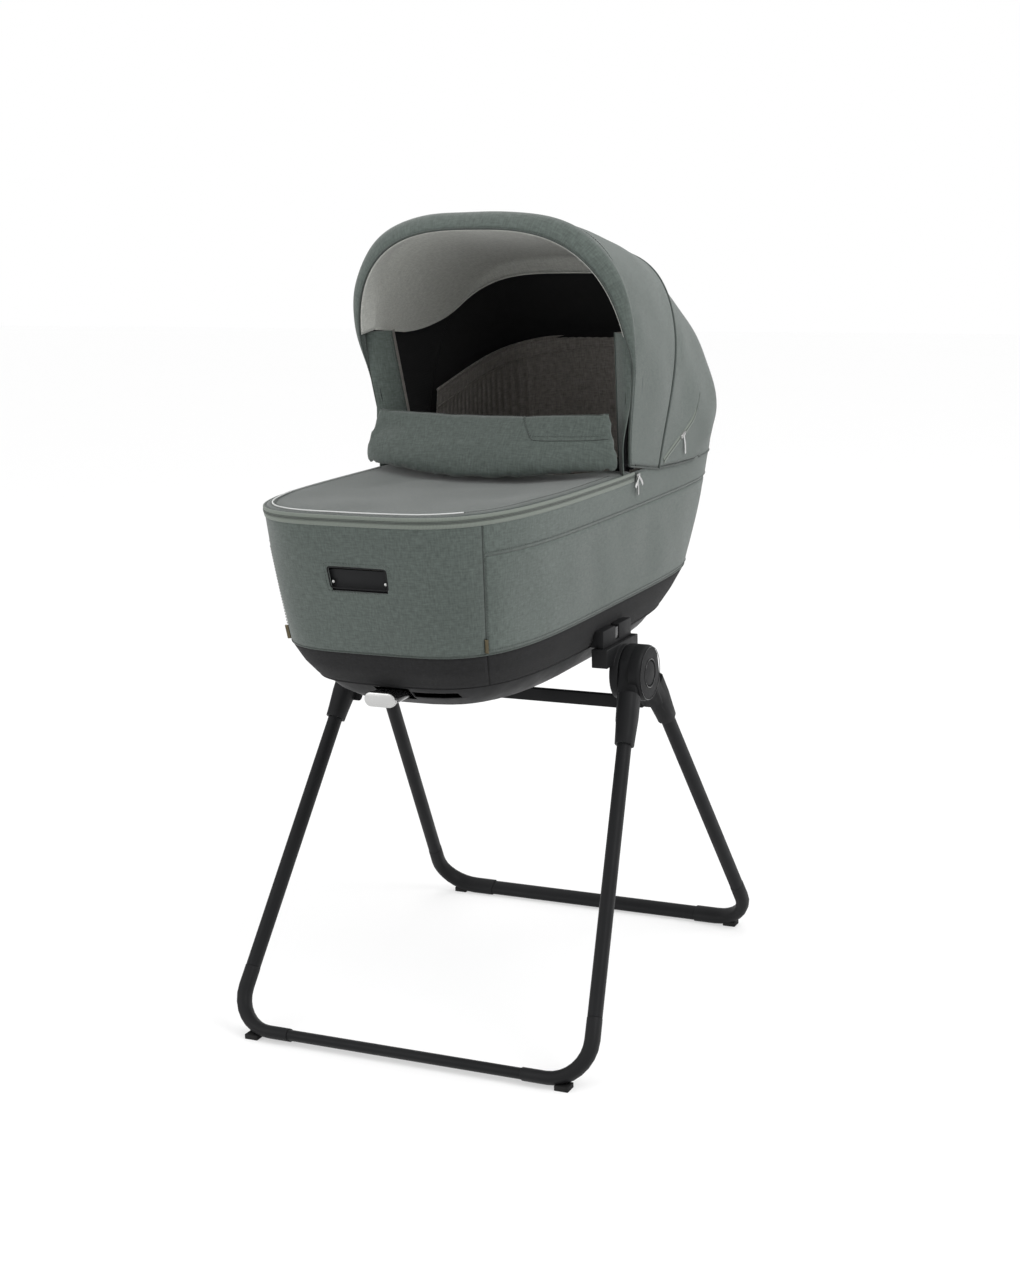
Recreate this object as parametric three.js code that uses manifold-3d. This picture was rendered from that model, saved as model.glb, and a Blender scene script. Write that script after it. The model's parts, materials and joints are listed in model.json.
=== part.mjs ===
// A carrycot with a folding hood on a folding A-frame stand.
// Millimetres, +Z up. The origin is on the floor under the middle of the cot, +X is the
// right-hand side seen from the foot end, and the foot end points along -Y.

import * as THREE from 'three';
import { mergeVertices } from 'three/addons/utils/BufferGeometryUtils.js';
import Module from 'manifold-3d';

const wasm = await Module();
wasm.setup();

// ---- Driving dimensions ----------------------------------------------------------------

const GAP = 0.3;                       // running clearance between touching pieces

// Stand
const FOOT_X = 277.5;                  // sharp corner of a leg and its floor bar
const FOOT_Y = 342.5;
const BAR_Z = 12;                      // centre line of the floor bars
const APEX_X = 219;                    // where the front and rear leg lines cross
const APEX_Z = 543.6;
const PIVOT_Z = 498;                   // folding axis, along X
const LEG_WIDE = 23;                   // oval tube, fore and aft
const LEG_THIN = 20;                   // oval tube, side to side
const BAR_DEEP = 25;
const BAR_TALL = 15.5;
const BEND_TANGENT = 60;               // where the corner's arc meets the straight runs
const ELBOW_ON_LEG = 90;               // how far the moulded corner reaches up the leg
const ELBOW_ON_BAR = 95;
const SLEEVE_END_Z = 412;              // bottom of the sleeve on a leg
const HUB_R = 41;
const HUB_INNER_X = 206;               // the front knuckle's inner face
const HUB_SPLIT_X = 222;               // where the two knuckles meet
const HUB_FRONT_X = 236;               // outer face of the front knuckle
const HUB_REAR_X = 241;                // outer face of the rear knuckle
const BUTTON_R = 18.3;
const BUTTON_TRAVEL = 3;
const PIN_R = 8;
const CROSSBAR_Y = 47;
const CROSSBAR_Z = 440;
const CROSSBAR_TALL = 20;
const CROSSBAR_DEEP = 9;

// Cot: at each height the half width, how far the plan reaches towards the foot and the
// head, and how square each of those ends is
const TUB_LEVELS = [
  { z: 538, a: 165, foot: 345, head: 362, n: 3.6, m: 3.8 },
  { z: 565, a: 176, foot: 369, head: 393, n: 3.9, m: 4.2 },
  { z: 593, a: 182.5, foot: 386, head: 415, n: 4.2, m: 5 },
  { z: 725, a: 194, foot: 423, head: 462, n: 4, m: 6.4 },
  { z: 779, a: 197, foot: 436, head: 478, n: 3.9, m: 7 },
];
const TRAY_LEVELS = [
  { z: 496, a: 112, foot: 258, head: 268, n: 3.2, m: 3.3 },
  { z: 505, a: 133, foot: 292, head: 305, n: 3.3, m: 3.4 },
  { z: 520, a: 150, foot: 320, head: 335, n: 3.4, m: 3.6 },
  { z: 537.7, a: 162, foot: 341, head: 357, n: 3.5, m: 3.7 },
];
const RIM_Z = 779;
const COVER_EDGE_Z = 593;              // green cover above, black skirt below
const SKIRT_EDGE_Z = 538;
const SKIN = 3;                        // cover and skirt
const WALL = 13;                       // outside of the cover to the inside of the padded wall
const TRAY_WALL = 4;
const FLOOR_Z = 549;                   // top of the padded floor
const PLAN_POINTS = 48;

// Cot fittings
const ADAPTER_Y = 53;                  // half length of an adapter plate
const ADAPTER_X = 191;                 // its outer face
const ADAPTER_TOP = 566;
const ADAPTER_FOOT = 517;
const SOCKET = { inner: 175, outer: 199, y: 60, bottom: 514, top: 541 };
const KNOB_Z = 527;
const KNOB_W = 46;
const KNOB_H = 20;
const KNOB_FACE_Y = -372;
const SLOT = { x0: 28, x1: 90, z0: 522, z1: 531 };
const WINDOW = { w: 85, h: 27, z: 693 };
const MATTRESS = { bottom: 553.5, top: 590, split: 60, margin: 17, wedge: 16 };

// Hood: an arch that sweeps round a pivot on each side
const HOOD_PIVOT_Y = 61;
const HOOD_PIVOT_Z = 787;
const HOOD_FRONT = -0.305;             // lean of the visor's edge, radians from upright
const HOOD_SEAM = -0.165;              // back of the visor
const HOOD_BACK = Math.PI / 2;
const HOOD_WIDE = 226;                 // half width across the widest part
const HOOD_BASE = 200.5;               // half width at the rim
const HOOD_REACH_FRONT = 361;
const HOOD_REACH_BACK = 419;
const HOOD_CLOTH = 3.5;
const MIDDLE_BOW = 0.62;
const FRONT_BOW = -0.075;

// Covers
const ZIP_PROUD = 2;
const ZIP_END_Y = 56;
const APRON_Y = 16;                    // head-side edge of the apron
const FLAP = {
  thick: 8,
  bottom: { y: -68, z: 797, half: 205, bow: 68 },  // its foot is an arc across the apron
  top: { y: 4, z: 866, half: 188 },
};

// ---- Materials -------------------------------------------------------------------------

const finish = (color, roughness, metalness) =>
  new THREE.MeshStandardMaterial({ color, roughness, metalness });
const aluminium = () => finish(0x2b2c2d, 0.45, 0.6);
const plastic = () => finish(0x232425, 0.55, 0);
const rubber = () => finish(0x151515, 0.85, 0);
const silver = () => finish(0xc9cbcc, 0.28, 0.9);
const steel = () => finish(0x9a9c9e, 0.35, 1);
const greenCloth = () => finish(0x5d6b64, 0.9, 0);
const blackCloth = () => finish(0x2a2a2b, 0.92, 0);
const paleCloth = () => finish(0x85877e, 0.9, 0);
const creamCloth = () => finish(0xd8d4c8, 0.9, 0);
const board = () => finish(0x3a3a3a, 0.8, 0);

// ---- Geometry helpers ------------------------------------------------------------------

const root = new THREE.Group();

function add(name, geometry, material) {
  const mesh = new THREE.Mesh(geometry, material);
  mesh.name = name;
  root.add(mesh);
}

// Adds one piece on each side: make(side) builds it for side +1 (right) or -1 (left).
function addPair(name, make, material) {
  add(`${name}_right`, make(1), material());
  add(`${name}_left`, make(-1), material());
}

function signedVolume(geometry) {
  const p = geometry.attributes.position;
  const index = geometry.index.array;
  const [a, b, c] = [new THREE.Vector3(), new THREE.Vector3(), new THREE.Vector3()];
  let sum = 0;
  for (let i = 0; i < index.length; i += 3) {
    a.fromBufferAttribute(p, index[i]);
    b.fromBufferAttribute(p, index[i + 1]);
    c.fromBufferAttribute(p, index[i + 2]);
    sum += a.dot(b.cross(c));
  }
  return sum / 6;
}

function facingOut(geometry) {
  if (signedVolume(geometry) < 0) {
    const index = geometry.index.array;
    for (let i = 0; i < index.length; i += 3) {
      [index[i], index[i + 1]] = [index[i + 1], index[i]];
    }
  }
  return geometry;
}

// Skins a list of rings with the same number of points. The ends are capped, or the last
// ring joins the first when loop is true.
function skin(rings, loop = false) {
  const count = rings[0].length;
  const positions = rings.flat().flatMap((v) => [v.x, v.y, v.z]);
  const index = [];
  const last = loop ? rings.length : rings.length - 1;
  for (let r = 0; r < last; r += 1) {
    const next = (r + 1) % rings.length;
    for (let i = 0; i < count; i += 1) {
      const j = (i + 1) % count;
      index.push(r * count + i, r * count + j, next * count + j);
      index.push(r * count + i, next * count + j, next * count + i);
    }
  }
  if (!loop) {
    for (const [ring, turn] of [[0, false], [rings.length - 1, true]]) {
      const middle = positions.length / 3;
      const centre = rings[ring].reduce((s, v) => s.add(v), new THREE.Vector3());
      centre.divideScalar(count);
      positions.push(centre.x, centre.y, centre.z);
      for (let i = 0; i < count; i += 1) {
        const a = ring * count + i;
        const b = ring * count + ((i + 1) % count);
        index.push(...(turn ? [a, b, middle] : [b, a, middle]));
      }
    }
  }
  const geometry = new THREE.BufferGeometry();
  geometry.setAttribute('position', new THREE.Float32BufferAttribute(positions, 3));
  geometry.setIndex(index);
  return facingOut(geometry);
}

// A sheet of even thickness: outer(u, v) and inner(u, v) are its two faces, u and v 0 to 1.
function slab(outer, inner, uSteps, vSteps) {
  const rings = [];
  for (let i = 0; i <= uSteps; i += 1) {
    const u = i / uSteps;
    const ring = [];
    for (let j = 0; j <= vSteps; j += 1) ring.push(outer(u, j / vSteps));
    for (let j = vSteps; j >= 0; j -= 1) ring.push(inner(u, j / vSteps));
    rings.push(ring);
  }
  const count = rings[0].length;
  const positions = rings.flat().flatMap((p) => [p.x, p.y, p.z]);
  const index = [];
  const quad = (a, b, c, d) => index.push(a, b, c, a, c, d);
  for (let r = 0; r < uSteps; r += 1) {
    for (let i = 0; i < count; i += 1) {
      const j = (i + 1) % count;
      quad(r * count + i, r * count + j, (r + 1) * count + j, (r + 1) * count + i);
    }
  }
  const end = uSteps * count;
  for (let j = 0; j < vSteps; j += 1) {
    const mate = count - 1 - j;
    quad(j + 1, j, mate, mate - 1);
    quad(end + j, end + j + 1, end + mate - 1, end + mate);
  }
  const geometry = new THREE.BufferGeometry();
  geometry.setAttribute('position', new THREE.Float32BufferAttribute(positions, 3));
  geometry.setIndex(index);
  return facingOut(geometry);
}

// A rounded section: the superellipse |x/a|^n + |y/b|^n = 1.
function superellipse(a, b, n, count) {
  const power = (v) => Math.sign(v) * Math.abs(v) ** (2 / n);
  return Array.from({ length: count }, (_, i) => {
    const t = (i / count) * 2 * Math.PI;
    return [a * power(Math.cos(t)), b * power(Math.sin(t))];
  });
}

// Carries a section along a path: each stop has a point, two axes and a section.
function sweep(stops) {
  return skin(stops.map(({ at, across, up, section }) =>
    section.map(([s, t]) => at.clone().addScaledVector(across, s).addScaledVector(up, t))));
}

function level(levels, z) {
  const i = Math.min(levels.length - 2, Math.max(0, levels.findIndex((l) => l.z > z) - 1));
  const top = z >= levels[levels.length - 1].z ? levels.length - 2 : i;
  const [p, q] = [levels[top], levels[top + 1]];
  const t = (z - p.z) / (q.z - p.z);
  return Object.fromEntries(
    ['a', 'foot', 'head', 'n', 'm'].map((k) => [k, p[k] + (q[k] - p[k]) * t]));
}

// A level ring of the cot's plan at height z, drawn in by inset.
function planRing(levels, z, inset) {
  const { a, foot, head, n, m } = level(levels, z);
  const headEnd = superellipse(a - inset, head - inset, m, PLAN_POINTS);
  const footEnd = superellipse(a - inset, foot - inset, n, PLAN_POINTS);
  return headEnd.map(([x, y], i) => {
    const [fx, fy] = y < 0 ? footEnd[i] : [x, y];
    return new THREE.Vector3(fx, fy, z);
  });
}

// A band of wall between two heights: up the outside and down the inside.
function wallBand(levels, heights, inset, thick) {
  const outside = heights.map((z) => planRing(levels, z, inset));
  const inside = heights.map((z) => planRing(levels, z, inset + thick)).reverse();
  return skin([...outside, ...inside], true);
}

function solid(geometry) {
  const bare = geometry.clone();
  bare.deleteAttribute('normal');
  bare.deleteAttribute('uv');
  const merged = mergeVertices(bare, 1e-4);
  return new wasm.Manifold(new wasm.Mesh({
    numProp: 3,
    vertProperties: new Float32Array(merged.attributes.position.array),
    triVerts: new Uint32Array(merged.index.array),
  }));
}

function fromSolid(manifold) {
  const mesh = manifold.getMesh();
  const geometry = new THREE.BufferGeometry();
  geometry.setAttribute('position', new THREE.BufferAttribute(mesh.vertProperties, 3));
  geometry.setIndex(new THREE.BufferAttribute(mesh.triVerts, 1));
  return geometry;
}

const cut = (body, ...tools) =>
  fromSolid(tools.reduce((left, tool) => left.subtract(solid(tool)), solid(body)));
const join = (...bodies) =>
  fromSolid(bodies.slice(1).reduce((all, body) => all.add(solid(body)), solid(bodies[0])));

function box(x0, x1, y0, y1, z0, z1) {
  const geometry = new THREE.BoxGeometry(x1 - x0, y1 - y0, z1 - z0);
  return geometry.translate((x0 + x1) / 2, (y0 + y1) / 2, (z0 + z1) / 2);
}

// A round bar along X, between x0 and x1.
function barX(r, x0, x1, y, z, sides = 32) {
  const geometry = new THREE.CylinderGeometry(r, r, Math.abs(x1 - x0), sides);
  return geometry.rotateZ(Math.PI / 2).translate((x0 + x1) / 2, y, z);
}

// Extrudes an outline drawn in the YZ plane along X, from x0 to x1, with rounded edges.
function plateX(shape, x0, x1, round) {
  const geometry = new THREE.ExtrudeGeometry(shape, {
    depth: x1 - x0 - 2 * round,
    bevelEnabled: round > 0,
    bevelThickness: round,
    bevelSize: round,
    bevelOffset: -round,
    bevelSegments: 3,
    curveSegments: 20,
  });
  geometry.translate(0, 0, x0 + round);
  return geometry.applyMatrix4(new THREE.Matrix4().makeBasis(
    new THREE.Vector3(0, 1, 0), new THREE.Vector3(0, 0, 1), new THREE.Vector3(1, 0, 0)));
}

// Mirrors a piece made for the right-hand side onto the left.
function onSide(geometry, side) {
  if (side > 0) return geometry;
  const flipped = geometry.scale(-1, 1, 1);
  const index = flipped.index ? flipped : mergeVertices(flipped);
  return facingOut(index);
}

// ---- Stand -----------------------------------------------------------------------------

// end is -1 for the front frame and +1 for the rear one.
const footPoint = (end) => new THREE.Vector3(FOOT_X, end * FOOT_Y, BAR_Z);
const legWay = (end) =>
  new THREE.Vector3(APEX_X, 0, APEX_Z).sub(footPoint(end)).normalize();
const legPoint = (end, z) => {
  const foot = footPoint(end);
  const way = legWay(end);
  return foot.addScaledVector(way, (z - BAR_Z) / way.z);
};
// Across the bend's own plane: fore and aft for both the leg and the bar.
const bendNormal = (end) =>
  new THREE.Vector3().crossVectors(legWay(end), new THREE.Vector3(-1, 0, 0)).normalize();

function legStop(end, z, wide, thin, n = 2.3) {
  const normal = bendNormal(end);
  const across = new THREE.Vector3().crossVectors(normal, legWay(end)).normalize();
  return { at: legPoint(end, z), across, up: normal, section: superellipse(thin / 2, wide / 2, n, 16) };
}

function legTube(end) {
  const bottom = footPoint(end).addScaledVector(legWay(end), ELBOW_ON_LEG + GAP).z;
  const top = SLEEVE_END_Z - GAP;
  return sweep([bottom, top].map((z) => legStop(end, z, LEG_WIDE, LEG_THIN)));
}

// The moulded corner: a short straight, an arc tangent to both runs, and a sleeve.
function elbow(end, extra = 0) {
  const corner = footPoint(end);
  const up = legWay(end);
  const along = new THREE.Vector3(-1, 0, 0);
  const normal = bendNormal(end);
  const turn = Math.PI - up.angleTo(along);
  const radius = BEND_TANGENT / Math.tan(turn / 2);
  const start = corner.clone().addScaledVector(up, BEND_TANGENT);
  const inward = new THREE.Vector3().crossVectors(up, normal).normalize();
  if (inward.dot(along) < 0) inward.negate();
  const centre = start.clone().addScaledVector(inward, radius);
  const ring = (at, tangent, thin, wide) => ({
    at,
    across: new THREE.Vector3().crossVectors(normal, tangent).normalize(),
    up: normal,
    section: superellipse(thin / 2 + extra, wide / 2 + extra, 2.4, 16),
  });
  const down = up.clone().negate();
  const seam = corner.clone().addScaledVector(up, ELBOW_ON_LEG);
  const stops = [
    ring(seam, down, LEG_THIN + 0.6, LEG_WIDE + 0.6),
  ];
  const steps = 8;
  for (let i = 0; i <= steps; i += 1) {
    const angle = (turn * i) / steps;
    const out = inward.clone().multiplyScalar(-Math.cos(angle)).addScaledVector(down, Math.sin(angle));
    const at = centre.clone().addScaledVector(out, radius);
    const tangent = down.clone().multiplyScalar(Math.cos(angle)).addScaledVector(inward, Math.sin(angle));
    const share = i / steps;
    stops.push(ring(at, tangent, LEG_THIN + 1 - 2.5 * share, LEG_WIDE + 1 + 4 * share));
  }
  const mouth = corner.clone().addScaledVector(along, ELBOW_ON_BAR);
  stops.push(ring(mouth, along, BAR_TALL + 3, BAR_DEEP + 3));
  return sweep(stops);
}

function floorBar(end) {
  const normal = bendNormal(end);
  const across = new THREE.Vector3().crossVectors(normal, new THREE.Vector3(-1, 0, 0)).normalize();
  const half = FOOT_X - ELBOW_ON_BAR - GAP;
  const section = superellipse(BAR_TALL / 2, BAR_DEEP / 2, 2.4, 16);
  return sweep([half, -half].map((x) => (
    { at: new THREE.Vector3(x, end * FOOT_Y, BAR_Z), across, up: normal, section })));
}

function footPad(end) {
  const x = FOOT_X - 35;
  const block = box(x - 14, x + 14, end * FOOT_Y - 14, end * FOOT_Y + 14, 0, 7);
  return cut(block, elbow(end, GAP));
}

// Outline of a knuckle from the side: a disc round the pivot and a tapering tongue towards
// the leg, drawn in the YZ plane. On its inner side the tongue leaves the disc on the line
// through the pivot, so that the folded knuckles pass each other.
function knuckleOutline(end) {
  const tip = legPoint(end, SLEEVE_END_Z + 34);
  const way = Math.atan2(tip.z - PIVOT_Z, tip.y);
  const half = 17;
  const side = [Math.cos(way + Math.PI / 2) * half, Math.sin(way + Math.PI / 2) * half];
  const reach = Math.hypot(tip.y, tip.z - PIVOT_Z);
  const outer = way + end * Math.acos((HUB_R - half) / reach);
  const inner = Math.atan2(-legWay(end).z, -legWay(end).y) + end * 0.04;
  const shape = new THREE.Shape();
  shape.moveTo(tip.y + end * side[0], tip.z + end * side[1]);
  shape.absarc(0, PIVOT_Z, HUB_R, outer, inner, end < 0);
  shape.lineTo(tip.y - end * side[0], tip.z - end * side[1]);
  shape.closePath();
  return shape;
}

function sleeve(end) {
  const drop = [
    [SLEEVE_END_Z + 62, 38, 28, 3.2],
    [SLEEVE_END_Z + 34, 36, 29, 3],
    [SLEEVE_END_Z + 12, 31.5, 27.5, 2.6],
    [SLEEVE_END_Z, 30, 26.5, 2.5],
  ];
  return sweep(drop.map(([z, wide, thin, n]) => {
    const stop = legStop(end, z, wide, thin, n);
    stop.at.x = Math.max(stop.at.x, HUB_INNER_X + thin / 2 + 1);
    return stop;
  }));
}

function frontKnuckle(side) {
  const body = join(plateX(knuckleOutline(-1), HUB_INNER_X, HUB_FRONT_X, 4), sleeve(-1));
  const room = barX(HUB_R + 0.5, HUB_SPLIT_X, HUB_REAR_X + 20, 0, PIVOT_Z, 48);
  const hole = barX(PIN_R, HUB_INNER_X - 5, HUB_REAR_X, 0, PIVOT_Z, 24);
  return onSide(cut(body, room, hole), side);
}

function rearKnuckle(side) {
  const body = join(plateX(knuckleOutline(1), HUB_INNER_X, HUB_REAR_X, 6), sleeve(1));
  const room = barX(HUB_R + 0.5, HUB_INNER_X - 20, HUB_SPLIT_X + GAP, 0, PIVOT_Z, 48);
  const hole = barX(PIN_R, HUB_INNER_X - 5, HUB_REAR_X - 8, 0, PIVOT_Z, 24);
  const seat = barX(BUTTON_R + 0.5, HUB_REAR_X - 8, HUB_REAR_X + 5, 0, PIVOT_Z, 36);
  return onSide(cut(body, room, hole, seat), side);
}

function foldButton(side) {
  const x0 = HUB_REAR_X - 8 + BUTTON_TRAVEL + GAP;
  const profile = [
    [0, 0],
    [BUTTON_R, 0],
    [BUTTON_R, HUB_REAR_X - x0 - 1],
    [BUTTON_R - 1.2, HUB_REAR_X - x0 + 0.2],
    [0, HUB_REAR_X - x0 + 0.8],
  ].map(([r, h]) => new THREE.Vector2(r, h));
  const cap = new THREE.LatheGeometry(profile, 36);
  cap.rotateZ(-Math.PI / 2).translate(x0, 0, PIVOT_Z);
  return onSide(fromSolid(solid(cap)), side);
}

function pivotPin(side) {
  const r = PIN_R - 0.1;
  return onSide(barX(r, SOCKET.outer + 0.5, HUB_REAR_X - 8 - GAP, 0, PIVOT_Z, 24), side);
}

// The block that takes the cot's adapter plate, with a boss that faces the knuckles.
function hubSocket(side) {
  const block = box(SOCKET.inner, SOCKET.outer, -SOCKET.y, SOCKET.y, SOCKET.bottom, SOCKET.top);
  const boss = barX(HUB_R - 1, SOCKET.outer - 6, HUB_INNER_X - GAP, 0, PIVOT_Z, 36);
  const slot = box(ADAPTER_X - 8 - 0.7, ADAPTER_X + 0.7, -ADAPTER_Y - 0.7, ADAPTER_Y + 0.7,
    ADAPTER_FOOT - 0.7, SOCKET.top + 5);
  const bore = barX(PIN_R, SOCKET.outer, HUB_INNER_X + 5, 0, PIVOT_Z, 24);
  return onSide(cut(join(block, boss), slot, bore), side);
}

const crossbarHalf = () => HUB_INNER_X - 6;

function crossbar() {
  const half = crossbarHalf();
  return box(-half, half, CROSSBAR_Y - CROSSBAR_DEEP / 2, CROSSBAR_Y + CROSSBAR_DEEP / 2,
    CROSSBAR_Z - CROSSBAR_TALL / 2, CROSSBAR_Z + CROSSBAR_TALL / 2);
}

// Carries the crossbar's end back to the inside of the rear sleeve.
function crossbarBracket(side) {
  const half = crossbarHalf();
  const y = CROSSBAR_Y + CROSSBAR_DEEP / 2 + GAP;
  const shape = new THREE.Shape();
  shape.moveTo(half - 34, y);
  shape.lineTo(half + 8, y);
  shape.lineTo(half + 8, y + 30);
  shape.quadraticCurveTo(half - 8, y + 26, half - 34, y + 4);
  shape.closePath();
  const geometry = new THREE.ExtrudeGeometry(shape, { depth: 18, bevelEnabled: false, curveSegments: 8 });
  geometry.translate(0, 0, CROSSBAR_Z - 9);
  return onSide(cut(geometry, rearSleeveRoom()), side);
}

function rearSleeveRoom() {
  return sweep([SLEEVE_END_Z + 62, SLEEVE_END_Z].map((z) => {
    const stop = legStop(1, z, 40, 30, 3);
    stop.at.x = Math.max(stop.at.x, HUB_INNER_X + 15);
    return stop;
  }));
}

for (const [name, end] of [['rear', 1], ['front', -1]]) {
  addPair(`${name}_leg_tube`, (side) => onSide(legTube(end), side), aluminium);
  addPair(`${name}_corner_elbow`, (side) => onSide(elbow(end), side), plastic);
  addPair(`${name}_foot_pad`, (side) => onSide(footPad(end), side), rubber);
  add(`${name}_floor_bar`, floorBar(end), aluminium());
}
addPair('rear_knuckle', rearKnuckle, plastic);
addPair('front_knuckle', frontKnuckle, plastic);
addPair('fold_button', foldButton, plastic);
addPair('pivot_pin', pivotPin, steel);
addPair('hub_socket', hubSocket, plastic);
add('crossbar', crossbar(), aluminium());
addPair('crossbar_bracket', crossbarBracket, plastic);

// ---- Cot -------------------------------------------------------------------------------

const windowHole = () =>
  box(-WINDOW.w / 2, WINDOW.w / 2, -440, -380, WINDOW.z - WINDOW.h / 2, WINDOW.z + WINDOW.h / 2);

function tubCover() {
  return cut(wallBand(TUB_LEVELS, [COVER_EDGE_Z + GAP, 725, RIM_Z], 0, SKIN), windowHole());
}

// The padded wall and floor: a bucket inside the cover and the skirt.
function tubWall() {
  const top = RIM_Z - 18;
  const heights = [SKIRT_EDGE_Z + 3, 565, COVER_EDGE_Z, 725, top];
  const outside = heights.map((z) => planRing(TUB_LEVELS, z, SKIN + GAP));
  const inside = [top, 725, COVER_EDGE_Z, 565, FLOOR_Z].map((z) => planRing(TUB_LEVELS, z, WALL));
  const pocket = box(-WINDOW.w / 2 - 6, WINDOW.w / 2 + 6, -440, -401,
    WINDOW.z - WINDOW.h / 2 - 6, WINDOW.z + WINDOW.h / 2 + 6);
  return cut(skin([...outside, ...inside]), pocket);
}

function rimRail() {
  return wallBand(TUB_LEVELS, [RIM_Z - 17, RIM_Z - 4], SKIN + GAP, WALL - SKIN - 2);
}

// A dished hand grip behind the window, following the lean of the cover.
function frontGrip() {
  const half = WINDOW.w / 2 + 4;
  const tall = WINDOW.h / 2 + 4;
  const face = (depth) => (u, v) => {
    const z = WINDOW.z - tall + 2 * tall * v;
    const { foot } = level(TUB_LEVELS, z);
    return new THREE.Vector3(-half + 2 * half * u, -foot + depth, z);
  };
  return slab(face(SKIN + 1.6), face(SKIN + 4.6), 4, 4);
}

function baseTray() {
  const heights = TRAY_LEVELS.map((l) => l.z);
  const outside = heights.map((z) => planRing(TRAY_LEVELS, z, 0));
  const inner = [...heights].reverse().map((z, i) => {
    const floor = i === heights.length - 1 ? TRAY_WALL : 0;
    const ring = planRing(TRAY_LEVELS, z, TRAY_WALL);
    return ring.map((v) => v.setZ(v.z + floor));
  });
  const finger = box(SLOT.x0, SLOT.x1, -340, -290, SLOT.z0, SLOT.z1);
  const mouth = box(-KNOB_W / 2 - 3, KNOB_W / 2 + 3, -345, -290, KNOB_Z - KNOB_H / 2 - 1, 536.2);
  return cut(skin([...outside, ...inner]), finger, mouth);
}

// A moulded plate that hangs in the stand's socket, with a flange against the cot.
function adapterPlate(side) {
  const outline = new THREE.Shape();
  outline.moveTo(171, 542);
  outline.lineTo(ADAPTER_X - 8, 542);
  outline.lineTo(ADAPTER_X - 8, ADAPTER_FOOT);
  outline.lineTo(ADAPTER_X, ADAPTER_FOOT);
  outline.lineTo(ADAPTER_X, ADAPTER_TOP);
  outline.lineTo(178, ADAPTER_TOP);
  outline.closePath();
  const plate = new THREE.ExtrudeGeometry(outline, { depth: 2 * ADAPTER_Y, bevelEnabled: false });
  plate.rotateX(Math.PI / 2).translate(0, ADAPTER_Y, 0);
  const notch = box(170, ADAPTER_X + 1, -7, 7, 545, ADAPTER_TOP + 1);
  return onSide(cut(plate, notch), side);
}

function adapterLatch(side) {
  return onSide(box(179, ADAPTER_X - 1, -6.5, 6.5, 546, ADAPTER_TOP - 3), side);
}

// An oval cap on a neck: the release knob is pulled out towards the foot end.
function knobOval(half, tall, y0, y1, round) {
  const shape = new THREE.Shape();
  const r = tall;
  shape.absarc(half - r, 0, r, -Math.PI / 2, Math.PI / 2, false);
  shape.absarc(-half + r, 0, r, Math.PI / 2, 1.5 * Math.PI, false);
  shape.closePath();
  const geometry = new THREE.ExtrudeGeometry(shape, {
    depth: y1 - y0 - 2 * round,
    bevelEnabled: true,
    bevelThickness: round,
    bevelSize: round,
    bevelOffset: -round,
    bevelSegments: 3,
    curveSegments: 10,
  });
  return geometry.translate(0, 0, round).rotateX(Math.PI / 2).translate(0, y1, KNOB_Z);
}

function releaseBar() {
  return box(-7, 7, -315, -20, KNOB_Z - 3, KNOB_Z);
}

function mattress(y0, y1, slope) {
  const { bottom, top, margin } = MATTRESS;
  const clip = (z, shift) => planRing(TUB_LEVELS, bottom, margin).map((v) => {
    const y = THREE.MathUtils.clamp(v.y, y0 + shift, y1);
    return new THREE.Vector3(v.x, y, z);
  });
  return skin([clip(bottom, 0), clip(top, slope)]);
}

function backrestBoard() {
  const { split, margin } = MATTRESS;
  const ring = (z) => planRing(TUB_LEVELS, MATTRESS.bottom, margin + 4).map((v) =>
    new THREE.Vector3(v.x, Math.max(v.y, split), z));
  return skin([ring(FLOOR_Z + GAP), ring(MATTRESS.bottom - GAP)]);
}

add('tub_cover', tubCover(), greenCloth());
add('tub_skirt', wallBand(TUB_LEVELS, [SKIRT_EDGE_Z + 3, 565, COVER_EDGE_Z - GAP], 0, SKIN), blackCloth());
add('tub_wall', tubWall(), paleCloth());
add('rim_rail', rimRail(), aluminium());
add('base_tray', baseTray(), plastic());
add('front_grip', frontGrip(), plastic());
addPair('adapter_plate', adapterPlate, plastic);
addPair('adapter_latch', adapterLatch, plastic);
add('release_knob_cap', knobOval(KNOB_W / 2, KNOB_H / 2, KNOB_FACE_Y, KNOB_FACE_Y + 8, 1.5), silver());
add('release_knob_neck', knobOval(KNOB_W / 2 - 2, KNOB_H / 2 - 1.5, KNOB_FACE_Y + 8 + GAP, -316, 1), plastic());
add('release_bar', releaseBar(), steel());
add('mattress_foot', mattress(-400, MATTRESS.split - 1, 0), creamCloth());
add('mattress_head', mattress(MATTRESS.split, 400, MATTRESS.wedge), creamCloth());
add('backrest_board', backrestBoard(), board());

// ---- Zip, apron and flap ---------------------------------------------------------------

// Half of the rim's width at a given y, set out by extra.
function rimX(y, extra) {
  const { a, foot, head, n, m } = level(TUB_LEVELS, RIM_Z);
  const [reach, square] = y < 0 ? [foot + extra, n] : [head + extra, m];
  return (a + extra) * (1 - Math.min(1, Math.abs(y) / reach) ** square) ** (1 / square);
}

// The zip runs round the foot end from one slider to the other.
function zipBand() {
  const ring = wallBand(TUB_LEVELS, [RIM_Z - 13, RIM_Z], -ZIP_PROUD, ZIP_PROUD - 0.6);
  return cut(ring, box(-300, 300, ZIP_END_Y, 600, RIM_Z - 50, RIM_Z + 50));
}

function zipSlider(side) {
  const body = box(199.3, 202.7, ZIP_END_Y + 1, ZIP_END_Y + 13, RIM_Z - 12, RIM_Z - 2);
  const pull = box(200.7, 202.2, ZIP_END_Y + 4, ZIP_END_Y + 9, RIM_Z - 33, RIM_Z - 11);
  return onSide(join(body, pull), side);
}

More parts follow.
